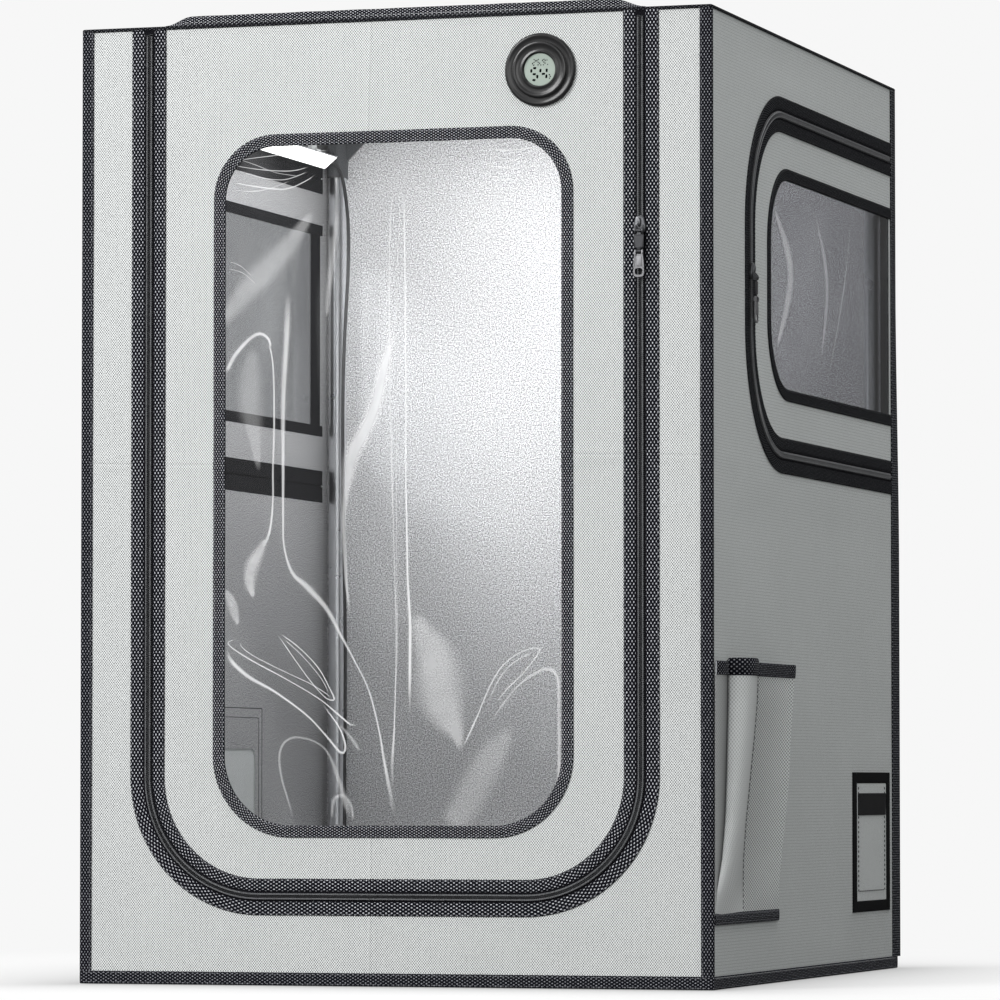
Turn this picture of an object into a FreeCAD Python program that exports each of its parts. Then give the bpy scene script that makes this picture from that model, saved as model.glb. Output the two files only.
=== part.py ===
import FreeCAD, Part
import math
import os
from FreeCAD import Vector

# Printer enclosure tent: a fabric cover with three zipped window doors over a
# steel tube frame.  Units mm.  Origin = centre of the base on the floor,
# +X to the viewer's right, -Y towards the viewer (front), +Z up.

# ---- overall cover ----
W, D, H = 550.0, 620.0, 800.0      # over the webbing
WEB_T = 1.0          # webbing stands this far proud of the fabric
SHEET = 1.2          # lined fabric thickness
EDGE_W = 10.0        # webbing width, front corners and roof
REAR_W = 18.0        # webbing width, rear corners
BASE_H = 10.8        # base webbing height

WEB_X, WEB_Y = W / 2, D / 2        # outer webbing planes
OUT_X, OUT_Y, OUT_Z = WEB_X - WEB_T, WEB_Y - WEB_T, H - WEB_T      # outer fabric faces
IN_X, IN_Y, IN_Z = OUT_X - SHEET, OUT_Y - SHEET, OUT_Z - SHEET     # inner fabric faces

# ---- hem standing on the roof above the front door ----
HEM_X0, HEM_X1 = -200.0, 218.0
HEM_H, HEM_T = 7.5, 1.4
HEM_RUN_L, HEM_RUN_R = 22.0, 26.0  # lengths of the sloping ends
HEM_SETBACK = 0.6                  # behind the front webbing plane

# ---- zips (all three share one cross-section; widths from the centreline) ----
ZIP_GAP = 0.4        # half gap between the two chain halves
COIL_W = 2.3         # width of one chain half
COIL_OUT = 1.0       # coil stands this far proud of the webbing
COIL_ZONE = 4.5      # bare tape each side
BAND_OUT = 15.6      # outer edge of the wall side webbing
BAND_IN = 14.6       # inner edge of the door side webbing
TAPE_T = 0.5
FRONT_COIL_STOP, SIDE_COIL_STOP = 4.0, 6.0    # coils end short of the tape

# ---- front door ----
FRONT_ZIP_X = 214.0                # zip centreline half width
FRONT_ZIP_Z = 73.5                 # zip centreline along the bottom
FRONT_ZIP_R = 98.4                 # zip centreline corner radius
FRONT_WIN_X, FRONT_WIN_Z0, FRONT_WIN_Z1 = 156.5, 122.0, 706.0   # webbing outer edge
FRONT_WIN_R_TOP, FRONT_WIN_R_BOT = 54.0, 68.0
WIN_WEB = 10.0                     # window webbing width

# ---- side doors ----
SIDE_ZIP_Y = -192.0                # zip centreline, front run
SIDE_ZIP_Z0, SIDE_ZIP_Z1 = 444.0, 732.5
SIDE_ZIP_R = 102.0
HINGE_Y = WEB_Y - REAR_W           # hinge edge, at the rear webbing
SIDE_WIN_Y, SIDE_WIN_Z0, SIDE_WIN_Z1 = -137.0, 490.5, 688.5
SIDE_WIN_R = 67.0
SIDE_WIN_REAR = HINGE_Y - 6        # rear edge of opening and film
SIDE_WEB_REAR = HINGE_Y - 0.3      # rear end of the window webbing

# ---- cable ports ----
PORT_W, PORT_H = 134.0, 123.5
PORT_SIDE, PORT_BAND = 14.0, 9.5   # frame width at the sides, at top and bottom
HOLE_INSET_Y, HOLE_Z0, HOLE_Z1 = 22.0, 19.0, 83.0   # wall opening within the port
HOLE_R = 8.0
RIGHT_PORT = (147.0, 53.0)         # y, z of the lower front corner
LEFT_PORT = (-1.0, 115.0)
FLAP_T = 0.8
HOOK_INSET = 3.0                   # hook strip ends inside the frame
HOOK_Z0, HOOK_Z1 = 85.5, 105.0     # hook strip above the port's lower edge
HOOK_PROUD = 0.6                   # hook strip beyond the webbing

# ---- hygrometer ----
HYG_X, HYG_Z = 128.7, 751.3
HYG_RING_D, HYG_BEZEL_D, HYG_BODY_D, HYG_LCD_D = 60.5, 46.4, 43.0, 26.5
HYG_NECK_R = 24.5                  # part of the ring passing through the door
HYG_CLR = 0.1
HYG_BODY_R, HYG_LCD_R = HYG_BODY_D / 2, HYG_LCD_D / 2

# ---- frame ----
FRAME_INSET = 17.0                 # tube centrelines inside the overall size
TUBE_X, TUBE_Y = WEB_X - FRAME_INSET, WEB_Y - FRAME_INSET
TUBE_Z0, TUBE_Z1 = FRAME_INSET, H - FRAME_INSET
TUBE_R, TUBE_T = 8.0, 1.0
SEAT = 12.0                        # tube end to corner hub centre
SEAT_CLR = 0.5                     # bore runs this far past the tube end
SOCK_R, SOCK_CLR, SOCK_L = 10.0, 0.1, 50.0
HUB_FILLET = 3.0
GUSSET_T = 4.0
# (distance along the rail, z) of a gusset outline
GUSSET = [(-6, -6), (-34, -6), (-34, -10), (-10, -34), (-6, -34)]

SIGNS = (-1, 1)
QUADRANTS = [(sx, sy) for sx in SIGNS for sy in SIGNS]

os.makedirs("parts", exist_ok=True)


def put(name, shape):
    shape.exportStep("parts/%s.step" % name)


def mirror_x(shape):
    return shape.mirror(Vector(0, 0, 0), Vector(1, 0, 0))


def put_pair(name, right):
    """Write a right side piece and its mirror image on the left."""
    put("right_" + name, right)
    put("left_" + name, mirror_x(right))


def to_quadrant(shape, sx, sy):
    """Mirror a shape made for the +X +Y corner into another corner."""
    if sx < 0:
        shape = mirror_x(shape)
    if sy < 0:
        shape = shape.mirror(Vector(0, 0, 0), Vector(0, 1, 0))
    return shape


def box(x0, y0, z0, x1, y1, z1):
    return Part.makeBox(x1 - x0, y1 - y0, z1 - z0, Vector(x0, y0, z0))


def cyl(radius, start, end):
    start, end = Vector(*start), Vector(*end)
    return Part.makeCylinder(radius, (end - start).Length, start, end - start)


def group(shapes):
    return Part.makeCompound(shapes)


def front_at(y):
    """Map (across, up) onto the plane parallel to the front at y."""
    return lambda u, v: Vector(u, y, v)


def side_at(x):
    """Map (across, up) onto the plane parallel to the sides at x."""
    return lambda u, v: Vector(x, u, v)


def prism(points, to3d, vec):
    """Extrude a straight sided polygon of (across, up) points."""
    corners = [to3d(*p) for p in points]
    return Part.Face(Part.makePolygon(corners + [corners[0]])).extrude(vec)


def outline(corners, to3d):
    """Closed wire through (across, up, radius) corners, arcs at radiused ones."""
    count = len(corners)
    joints = []      # arc start, arc end, arc middle for each corner
    for i, (u, v, radius) in enumerate(corners):
        if radius <= 0:
            joints.append(((u, v), (u, v), None))
            continue
        prev_u, prev_v, _ = corners[i - 1]
        next_u, next_v, _ = corners[(i + 1) % count]
        back = Vector(prev_u - u, prev_v - v, 0)
        ahead = Vector(next_u - u, next_v - v, 0)
        back.normalize()
        ahead.normalize()
        half = back.getAngle(ahead) / 2
        trim = radius / math.tan(half)
        bisector = back + ahead
        bisector.normalize()
        reach = radius / math.sin(half) - radius
        joints.append(((u + back.x * trim, v + back.y * trim),
                       (u + ahead.x * trim, v + ahead.y * trim),
                       (u + bisector.x * reach, v + bisector.y * reach)))
    edges = []
    for i, (start, end, middle) in enumerate(joints):
        if middle:
            edges.append(Part.Arc(to3d(*start), to3d(*middle), to3d(*end)).toShape())
        a, b = to3d(*end), to3d(*joints[(i + 1) % count][0])
        if (a - b).Length > 1e-6:
            edges.append(Part.makeLine(a, b))
    return Part.Wire(edges)


def slab(corners, to3d, vec):
    return Part.Face(outline(corners, to3d)).extrude(vec)


def side_punch(corners):
    """Cutter right through the right wall fabric."""
    return slab(corners, side_at(IN_X - 1), Vector(SHEET + 2, 0, 0))


def u_door(offset, top=IN_Z):
    """Front door outline at an offset outside the zip centreline."""
    x, z, r = FRONT_ZIP_X + offset, FRONT_ZIP_Z - offset, FRONT_ZIP_R + offset
    return [(-x, top, 0), (-x, z, r), (x, z, r), (x, top, 0)]


def c_door(offset, rear=HINGE_Y):
    """Side door outline at an offset outside the zip centreline."""
    y, r = SIDE_ZIP_Y - offset, SIDE_ZIP_R + offset
    z0, z1 = SIDE_ZIP_Z0 - offset, SIDE_ZIP_Z1 + offset
    return [(rear, z1, 0), (y, z1, r), (y, z0, r), (rear, z0, 0)]


def front_window(inset):
    """Front window outline, inset from the webbing's outer edge."""
    x, z0, z1 = FRONT_WIN_X - inset, FRONT_WIN_Z0 + inset, FRONT_WIN_Z1 - inset
    r_top, r_bot = FRONT_WIN_R_TOP - inset, FRONT_WIN_R_BOT - inset
    return [(-x, z1, r_top), (x, z1, r_top), (x, z0, r_bot), (-x, z0, r_bot)]


def side_window(inset, rear):
    y, r = SIDE_WIN_Y + inset, SIDE_WIN_R - inset
    z0, z1 = SIDE_WIN_Z0 + inset, SIDE_WIN_Z1 - inset
    return [(rear, z1, 0), (y, z1, r), (y, z0, r), (rear, z0, 0)]


# ---- Steel tube frame: four posts, eight rails, eight three-way corners ----
def tube(start, end):
    return cyl(TUBE_R, start, end).cut(cyl(TUBE_R - TUBE_T, start, end))


put("frame_posts", group([
    tube((sx * TUBE_X, sy * TUBE_Y, TUBE_Z0 + SEAT), (sx * TUBE_X, sy * TUBE_Y, TUBE_Z1 - SEAT))
    for sx, sy in QUADRANTS]))
put("frame_width_rails", group([
    tube((-TUBE_X + SEAT, sy * TUBE_Y, z), (TUBE_X - SEAT, sy * TUBE_Y, z))
    for sy in SIGNS for z in (TUBE_Z0, TUBE_Z1)]))
put("frame_depth_rails", group([
    tube((sx * TUBE_X, -TUBE_Y + SEAT, z), (sx * TUBE_X, TUBE_Y - SEAT, z))
    for sx in SIGNS for z in (TUBE_Z0, TUBE_Z1)]))


def connector(sx, sy, top):
    """Three-way moulded corner, built at the origin pointing -X, -Y, -Z."""
    # The hub reaches the inner face of the roof or floor sheet
    hub_top = IN_Z - TUBE_Z1 if top else TUBE_Z0 - SHEET
    hub = box(-SOCK_R, -SOCK_R, -SOCK_R, SOCK_R, SOCK_R, hub_top)
    shape = hub.makeFillet(HUB_FILLET, [
        e for e in hub.Edges if abs(e.Vertexes[0].Z - e.Vertexes[1].Z) > 1])
    arms = ((-1, 0, 0), (0, -1, 0), (0, 0, -1))
    for arm in arms:
        shape = shape.fuse(cyl(SOCK_R, (0, 0, 0), [k * SOCK_L for k in arm]))
    # 45 degree gusset webs between the upright socket and each rail socket
    shape = shape.fuse(prism(GUSSET, front_at(-GUSSET_T / 2), Vector(0, GUSSET_T, 0)))
    shape = shape.fuse(prism(GUSSET, side_at(-GUSSET_T / 2), Vector(GUSSET_T, 0, 0)))
    for arm in arms:
        shape = shape.cut(cyl(TUBE_R + SOCK_CLR, [k * (SEAT - SEAT_CLR) for k in arm],
                              [k * (SOCK_L + 1) for k in arm]))
    if not top:
        shape = shape.mirror(Vector(0, 0, 0), Vector(0, 0, 1))
    shape = to_quadrant(shape, sx, sy)
    shape.translate(Vector(sx * TUBE_X, sy * TUBE_Y, TUBE_Z1 if top else TUBE_Z0))
    return shape


put("frame_corner_connectors", group([
    connector(sx, sy, top) for top in (True, False) for sx, sy in QUADRANTS]))

# ---- Cover: six fabric panels sewn along the edges ----
put("floor_sheet", box(-OUT_X, -OUT_Y, 0, OUT_X, OUT_Y, SHEET))
put("roof_panel", box(-OUT_X, -OUT_Y, IN_Z, OUT_X, OUT_Y, OUT_Z))
put("rear_wall_panel", box(-OUT_X, IN_Y, SHEET, OUT_X, OUT_Y, IN_Z))
put("front_wall_panel", box(-OUT_X, -OUT_Y, SHEET, OUT_X, -IN_Y, IN_Z).cut(
    slab(u_door(COIL_ZONE, IN_Z + 5), front_at(-OUT_Y - 1), Vector(0, SHEET + 2, 0))))


def side_wall(port_y, port_z):
    """Right wall with its door and cable port openings."""
    wall = box(IN_X, -IN_Y, SHEET, OUT_X, IN_Y, IN_Z).cut(side_punch(c_door(COIL_ZONE)))
    y0, y1 = port_y + HOLE_INSET_Y, port_y + PORT_W - HOLE_INSET_Y
    z0, z1 = port_z + HOLE_Z0, port_z + HOLE_Z1
    return wall.cut(side_punch([(y0, z0, HOLE_R), (y1, z0, HOLE_R),
                                (y1, z1, HOLE_R), (y0, z1, HOLE_R)]))


put("right_wall_panel", side_wall(*RIGHT_PORT))
put("left_wall_panel", mirror_x(side_wall(*LEFT_PORT)))

# ---- Edge webbing ----
put("base_edge_webbing", box(-WEB_X, -WEB_Y, 0, WEB_X, WEB_Y, BASE_H).cut(
    box(-OUT_X, -OUT_Y, -1, OUT_X, OUT_Y, BASE_H + 1)))


def corner_web(sx, sy):
    """L-section strip up one vertical edge."""
    width = EDGE_W if sy < 0 else REAR_W
    x, y = WEB_X - width, WEB_Y - width
    web = box(x, y, BASE_H, WEB_X, WEB_Y, OUT_Z)
    web = web.cut(box(x - 1, y - 1, BASE_H - 1, OUT_X, OUT_Y, OUT_Z + 1))
    return to_quadrant(web, sx, sy)


put("corner_webbing", group([corner_web(sx, sy) for sx, sy in QUADRANTS]))
put("roof_edge_webbing", box(-WEB_X, -WEB_Y, OUT_Z, WEB_X, WEB_Y, H).cut(
    box(-WEB_X + EDGE_W, -WEB_Y + EDGE_W, OUT_Z - 1, WEB_X - EDGE_W, WEB_Y - EDGE_W, H + 1)))
put("roof_front_hem", prism(
    [(HEM_X0, H), (HEM_X0 + HEM_RUN_L, H + HEM_H), (HEM_X1 - HEM_RUN_R, H + HEM_H), (HEM_X1, H)],
    front_at(-WEB_Y + HEM_SETBACK), Vector(0, HEM_T, 0)))


# ---- Zips: tape and chain half, with the webbing that covers the tape edge ----
def zip_set(door, plane, inward, end, coil_end):
    """Wall half, door half, wall webbing and door webbing of one zip.

    door is an outline function and plane(depth) its mapping at a depth
    behind the webbing plane; end and coil_end trim the open ends.
    """
    def band(outer, inner, depth0, depth1, stop):
        thick = depth1 - depth0
        cutter = slab(door(inner, stop + 5), plane(depth0 - 1), inward * (thick + 2))
        return slab(door(outer, stop), plane(depth0), inward * thick).cut(cutter)

    tape_front = WEB_T - TAPE_T
    coil_edge = ZIP_GAP + COIL_W
    tape_wall = band(BAND_OUT, ZIP_GAP, tape_front, WEB_T, end)
    tape_door = band(-ZIP_GAP, -BAND_IN, tape_front, WEB_T, end)
    coil_wall = band(coil_edge, ZIP_GAP, -COIL_OUT, tape_front, coil_end)
    coil_door = band(-ZIP_GAP, -coil_edge, -COIL_OUT, tape_front, coil_end)
    web_wall = band(BAND_OUT, COIL_ZONE, 0.0, tape_front, end)
    web_door = band(-COIL_ZONE, -BAND_IN, 0.0, tape_front, end)
    return tape_wall.fuse(coil_wall), tape_door.fuse(coil_door), web_wall, web_door


front_wall_half, front_door_half, front_wall_web, front_door_web = zip_set(
    u_door, lambda depth: front_at(-WEB_Y + depth), Vector(0, 1, 0),
    IN_Z, IN_Z - FRONT_COIL_STOP)
side_wall_half, side_door_half, side_wall_web, side_door_web = zip_set(
    c_door, lambda depth: side_at(WEB_X - depth), Vector(-1, 0, 0),
    HINGE_Y, HINGE_Y - SIDE_COIL_STOP)
put("front_zip_wall_half", front_wall_half)
put("front_zip_door_half", front_door_half)
put_pair("zip_wall_half", side_wall_half)
put_pair("zip_door_half", side_door_half)
put("door_opening_webbing", group([front_wall_web, side_wall_web, mirror_x(side_wall_web)]))
put("front_door_edge_webbing", front_door_web)
put_pair("door_edge_webbing", side_door_web)

# ---- Doors: fabric panel, clear window film, window webbing ----
FILM_T = 0.6
FILM_INSET = WIN_WEB / 2           # film edge lies mid-width under the webbing

sheet_vec = Vector(0, SHEET, 0)
door_front = slab(u_door(-COIL_ZONE), front_at(-OUT_Y), sheet_vec).cut(
    slab(front_window(FILM_INSET), front_at(-OUT_Y), sheet_vec))
put("front_door_panel", door_front.cut(cyl(
    HYG_NECK_R + HYG_CLR, (HYG_X, -OUT_Y - 1, HYG_Z), (HYG_X, -IN_Y + 1, HYG_Z))))
put("front_window_film", slab(front_window(FILM_INSET), front_at(-OUT_Y),
                              Vector(0, FILM_T, 0)))
web_vec = Vector(0, WEB_T, 0)
put("front_window_webbing", slab(front_window(0), front_at(-WEB_Y), web_vec).cut(
    slab(front_window(WIN_WEB), front_at(-WEB_Y), web_vec)))

film_outline = side_window(FILM_INSET, SIDE_WIN_REAR)
put_pair("door_panel", slab(c_door(-COIL_ZONE), side_at(IN_X), Vector(SHEET, 0, 0)).cut(
    side_punch(film_outline)))
put_pair("window_film", slab(film_outline, side_at(OUT_X - FILM_T), Vector(FILM_T, 0, 0)))
put_pair("window_webbing", slab(
    side_window(0, SIDE_WEB_REAR), side_at(OUT_X), Vector(WEB_T, 0, 0)).cut(
    slab(side_window(WIN_WEB, SIDE_WEB_REAR + 5), side_at(OUT_X - 1), Vector(WEB_T + 2, 0, 0))))

# ---- Zip sliders ----
# Built with the pull pin at the origin's height, outward = -Y, travel along Z,
# door side = -X; y = 0 is the outer webbing plane.
PIN_Y, PIN_R, PIN_HALF = -4.6, 0.8, 2.5
CHEEK_X, CHEEK_T = (2.4, -3.6), 1.2    # low x of the plates holding each pin
LUG_R = 2.2
PULL_HALF_T = 0.5                  # half thickness of link and tab
LINK_L = 17.0                      # between pin centres
LINK_HALF, LINK_WIDE_HALF = 2.0, 4.0
BAR_R, BAR_HALF, EYE_R = 1.6, 2.1, 0.85
TAB_TOP, TAB_BOT = -LINK_L - 2.1, -38.0
TAB_CHEEK_R, TAB_CHEEK_HALF_T = 1.5, 1.2
TAB_HOLE_X, TAB_HOLE_R = 0.9, 2.3  # slot end centres and radius
TAB_HOLE_Z = TAB_BOT + 4.2
FRONT_PIN_Z, SIDE_PIN_Z = 616.2, 586.2
# (x, z, radius) corners
SLIDER_PLATE = [(-4.5, 11, 1), (-3.2, 12.4, 1), (3.2, 12.4, 1), (4.5, 11, 1),
                (5.2, 3, 1), (3.8, -1.5, 1), (-3.8, -1.5, 1), (-5.2, 3, 1)]
TAB = [(-3.2, TAB_TOP, 0.6), (3.2, TAB_TOP, 0.6), (4.6, TAB_BOT, 3.2), (-4.6, TAB_BOT, 3.2)]


def x_bar(radius, x0, x1, z):
    """Round bar along X at the depth of the pull pin."""
    return cyl(radius, (x0, PIN_Y, z), (x1, PIN_Y, z))


def slider_body():
    plate = slab(SLIDER_PLATE, front_at(-2.3), Vector(0, 1.1, 0))
    neck = box(-0.3, -1.25, -0.6, 0.3, 1.3, 10.4)
    back = box(-4.2, 1.2, -1.2, 0.3, 2.0, 11.6)
    body = plate.fuse(neck).fuse(back)
    for x in CHEEK_X:
        lug = box(x, -5.6, -LUG_R, x + CHEEK_T, -2.2, LUG_R)
        body = body.fuse(lug.fuse(x_bar(LUG_R, x, x + CHEEK_T, 0)))
    return body.fuse(x_bar(PIN_R, -PIN_HALF, PIN_HALF, 0))


def pull_link():
    y0, y1 = PIN_Y - PULL_HALF_T, PIN_Y + PULL_HALF_T
    link = box(-LINK_HALF, y0, -LINK_L + 1, LINK_HALF, y1, -1)
    link = link.fuse(box(-LINK_WIDE_HALF, y0, -13.6, LINK_WIDE_HALF, y1, -3.4))
    for z in (0, -LINK_L):
        link = link.fuse(x_bar(BAR_R, -BAR_HALF, BAR_HALF, z))
    for z in (0, -LINK_L):
        link = link.cut(x_bar(EYE_R, -3, 3, z))
    return link


def pull_tab():
    tab = slab(TAB, front_at(PIN_Y - PULL_HALF_T), Vector(0, 2 * PULL_HALF_T, 0))
    y0, y1 = PIN_Y - 2, PIN_Y + 2
    for x in (-TAB_HOLE_X, TAB_HOLE_X):
        tab = tab.cut(cyl(TAB_HOLE_R, (x, y0, TAB_HOLE_Z), (x, y1, TAB_HOLE_Z)))
    tab = tab.cut(box(-TAB_HOLE_X, y0, TAB_HOLE_Z - TAB_HOLE_R,
                      TAB_HOLE_X, y1, TAB_HOLE_Z + TAB_HOLE_R))
    for x in CHEEK_X:
        tab = tab.fuse(box(x, PIN_Y - TAB_CHEEK_HALF_T, TAB_TOP - 0.8,
                           x + CHEEK_T, PIN_Y + TAB_CHEEK_HALF_T, -LINK_L))
        tab = tab.fuse(x_bar(TAB_CHEEK_R, x, x + CHEEK_T, -LINK_L))
    return tab.fuse(x_bar(PIN_R, -PIN_HALF, PIN_HALF, -LINK_L))


def place_front(shape):
    shape.translate(Vector(FRONT_ZIP_X, -WEB_Y, FRONT_PIN_Z))
    return shape


def place_right(shape):
    shape = mirror_x(shape)
    shape.rotate(Vector(0, 0, 0), Vector(0, 0, 1), 90)
    shape.translate(Vector(WEB_X, SIDE_ZIP_Y, SIDE_PIN_Z))
    return shape


for name, make in (("slider_body", slider_body), ("slider_pull_link", pull_link),
                   ("slider_pull_tab", pull_tab)):
    put("front_" + name, place_front(make()))
    put_pair(name, place_right(make()))

# ---- Round hygrometer clamped in the front door panel ----
# Depths run inward from the front webbing plane.
RING_FACE, BEZEL_FACE, LCD_FACE = -2.2, -4.0, -3.2
RING_CHAMFER = 1.2
NECK_END = WEB_T + SHEET + 1.2
CASE_T = 1.2
CASE_BACK = 11.0
INNER_R = HYG_BODY_R - CASE_T - HYG_CLR   # parts that sit inside the case
CELL_R, CELL_X = 5.8, 7                   # cells either side of the centre


def disc(radius, depth0, depth1, bore=0.0, dx=0.0):
    x, y0, y1 = HYG_X + dx, -WEB_Y + depth0, -WEB_Y + depth1
    shape = cyl(radius, (x, y0, HYG_Z), (x, y1, HYG_Z))
    if bore:
        shape = shape.cut(cyl(bore, (x, y0 - 1, HYG_Z), (x, y1 + 1, HYG_Z)))
    return shape


ring = disc(HYG_RING_D / 2, RING_FACE, WEB_T, HYG_BODY_R + HYG_CLR)
ring = ring.makeChamfer(RING_CHAMFER, [
    e for e in ring.Edges
    if abs(e.Length - math.pi * HYG_RING_D) < 0.5 and e.CenterOfMass.y < -WEB_Y - 1])
put("hygrometer_mounting_ring", ring.fuse(
    disc(HYG_NECK_R, WEB_T, NECK_END, HYG_BODY_R + HYG_CLR)))
put("hygrometer_case", disc(HYG_BEZEL_D / 2, BEZEL_FACE, RING_FACE, HYG_LCD_R + HYG_CLR).fuse(
    disc(HYG_BODY_R, RING_FACE, CASE_BACK, HYG_BODY_R - CASE_T)))
put("hygrometer_lcd", disc(HYG_LCD_R, LCD_FACE, RING_FACE).fuse(
    disc(INNER_R, RING_FACE, RING_FACE + 1.0)))
put("hygrometer_circuit_board", disc(INNER_R, -0.6, 0.6))
put("hygrometer_button_cells", group([
    disc(CELL_R, 1.2, 6.6, dx=dx) for dx in (-CELL_X, CELL_X)]))
put("hygrometer_battery_cover", disc(HYG_BODY_R, CASE_BACK, CASE_BACK + 1.4).fuse(
    disc(HYG_BODY_R - 1.35, 8.6, CASE_BACK)))

# ---- Pocket: two open-topped fabric compartments on the right wall ----
POCKET_Y0, POCKET_SEAM_Y, POCKET_Y1 = -307.0, -223.5, -109.0
POCKET_Z0, POCKET_Z1 = 52.0, 266.0
POCKET_FRONT, POCKET_REAR = 25.0, 17.0   # how far the mouths stand off the wall
POCKET_FLAT = 1.4                        # stand-off where sewn down
POCKET_T = 1.2
POCKET_STEPS = 10
POCKET_BASE = POCKET_Z0 + 9.5            # top of the base strip
RIM_Z = POCKET_Z1 - 11.0                 # lower edge of the rim webbing


def front_bulge(t):
    return math.sin(math.pi * min(1.0, t * 1.12) ** 0.72)


def rear_bulge(t):
    return math.sin(math.pi * t ** 1.15) ** 0.55


def pocket_profile(z, inset, opening):
    """Plan outline at height z; opening runs 0 (sewn flat) to 1 (open mouth)."""
    seam = inset * 0.5
    points = []
    for y0, y1, mouth, bulge, first in (
            (POCKET_Y0 + inset, POCKET_SEAM_Y - seam, POCKET_FRONT, front_bulge, 0),
            (POCKET_SEAM_Y + seam, POCKET_Y1 - inset, POCKET_REAR, rear_bulge, 1)):
        for i in range(first, POCKET_STEPS + 1):
            t = i / POCKET_STEPS
            swell = bulge(t) if i < POCKET_STEPS else 0
            x = WEB_X + POCKET_FLAT - inset + (mouth - POCKET_FLAT) * opening * swell
            points.append(Vector(x, y0 + (y1 - y0) * t, z))
    return points


def pocket_loft(inset, bottom, top, back):
    """Loft between (z, opening) pairs, closed off at x = back."""
    wires = []
    for z, opening in (bottom, top):
        points = pocket_profile(z, inset, opening)
        points += [Vector(back, points[-1].y, z), Vector(back, points[0].y, z), points[0]]
        wires.append(Part.makePolygon(points))
    return Part.makeLoft(wires, True, True)


CAVITY_BACK = WEB_X + 0.15
put("pocket_panel", pocket_loft(0.0, (POCKET_BASE, 0.04), (RIM_Z, 1.0), WEB_X).cut(
    pocket_loft(POCKET_T, (POCKET_BASE + 6, 0.10), (RIM_Z + 0.1, 1.0), CAVITY_BACK)))
rim = pocket_loft(-0.5, (RIM_Z, 1.0), (POCKET_Z1, 1.02), WEB_X).cut(
    pocket_loft(POCKET_T, (RIM_Z - 1, 1.0), (POCKET_Z1 + 1, 1.02), CAVITY_BACK))
base_strip = box(WEB_X, POCKET_Y0, POCKET_Z0, WEB_X + POCKET_T, POCKET_Y1, POCKET_BASE)
put("pocket_webbing", group([rim, base_strip]))


# ---- Cable ports: webbing frame, flap inside it, hook strip ----
def port(y, z):
    y0, y1 = y + PORT_SIDE, y + PORT_W - PORT_SIDE
    z0, z1 = z + PORT_BAND, z + PORT_H - PORT_BAND
    frame = box(OUT_X, y, z, WEB_X, y + PORT_W, z + PORT_H).cut(
        box(OUT_X - 1, y0, z0, WEB_X + 1, y1, z1))
    flap = box(OUT_X, y0 + 0.4, z0 + 0.3, OUT_X + FLAP_T, y1 - 0.4, z1 - 0.4)
    hook = box(OUT_X + FLAP_T, y0 + HOOK_INSET, z + HOOK_Z0,
               WEB_X + HOOK_PROUD, y1 - HOOK_INSET, z + HOOK_Z1)
    return frame, flap, hook


right_port = port(*RIGHT_PORT)
left_port = [mirror_x(piece) for piece in port(*LEFT_PORT)]
put("cable_port_frames", group([right_port[0], left_port[0]]))
for side, pieces in (("right", right_port), ("left", left_port)):
    put(side + "_port_flap", pieces[1])
    put(side + "_port_hook_strip", pieces[2])

# ---- LED bar: corner channel, diffuser, LED strip, rail clips, power lead ----
LED_Y0, LED_Y1 = -150.0, 267.0
LED_X, LED_Z = -262.0, 749.6             # inner corner of the channel
LIP_X, LIP_Z = -250.0, 739.4             # free edges of the channel
CHANNEL_T, CAP_T = 1.2, 1.5
BACK_X, BACK_Z = LED_X - CHANNEL_T, LED_Z + CHANNEL_T
CLIP_R, CLIP_W, CLIP_END = 10.6, 10.0, 50.0
LEAD_R = 1.6
# (x, z) outline
DIFFUSER = [(LED_X, 740.2), (LED_X + 0.4, 739.5), (-250.1, 749.0),
            (-250.6, LED_Z), (-251.4, LED_Z), (LED_X, 741.3)]
# (x, y, z) points along the lead, from the bar down the rear left corner
LEAD = [(-255.5, LED_Y1 + 0.4, 746.0), (-252.0, 274.0, 742.0), (-246.5, 280.0, 720.0),
        (-246.0, 281.5, 600.0), (-246.0, 281.5, 300.0), (-246.0, 281.0, 90.0),
        (-244.0, 276.0, 58.0), (-240.0, 262.0, 40.0), (-238.0, 235.0, 33.0)]


def along_y(points, y0, y1):
    return prism(points, front_at(y0), Vector(0, y1 - y0, 0))


channel = along_y([(BACK_X, LIP_Z), (LED_X, LIP_Z), (LED_X, LED_Z), (LIP_X, LED_Z),
                   (LIP_X, BACK_Z), (BACK_X, BACK_Z)], LED_Y0, LED_Y1)
for y in (LED_Y0 - CAP_T, LED_Y1):
    channel = channel.fuse(along_y(
        [(BACK_X, LIP_Z - 1), (LIP_X + 1, BACK_Z), (BACK_X, BACK_Z)], y, y + CAP_T))
put("led_channel", channel)
put("led_diffuser", along_y(DIFFUSER, LED_Y0, LED_Y1))
put("led_strip", along_y([(LED_X, 743.0), (LED_X + 0.5, 743.0), (LED_X + 0.5, 749.2),
                          (LED_X, 749.2)], LED_Y0 + 4, LED_Y1 - 4))


def rail_clip(y):
    """Open-topped clip round the left upper rail, with a foot on the channel."""
    x, z, y1 = -TUBE_X, TUBE_Z1, y + CLIP_W
    clip = cyl(CLIP_R, (x, y, z), (x, y1, z))
    clip = clip.fuse(box(x - 2.5, y, BACK_Z, x + 2.5, y1, z - 8.5))
    clip = clip.fuse(box(-262.5, y, BACK_Z, -251.5, y1, BACK_Z + 2.0))
    clip = clip.cut(cyl(TUBE_R + 0.05, (x, y - 1, z), (x, y1 + 1, z)))
    return clip.cut(box(x - 4.5, y - 1, z + 4, x + 4.5, y1 + 1, z + 12))


put("led_rail_clips", group([rail_clip(y) for y in (LED_Y0 + CLIP_END, LED_Y1 - CLIP_END)]))

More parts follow.
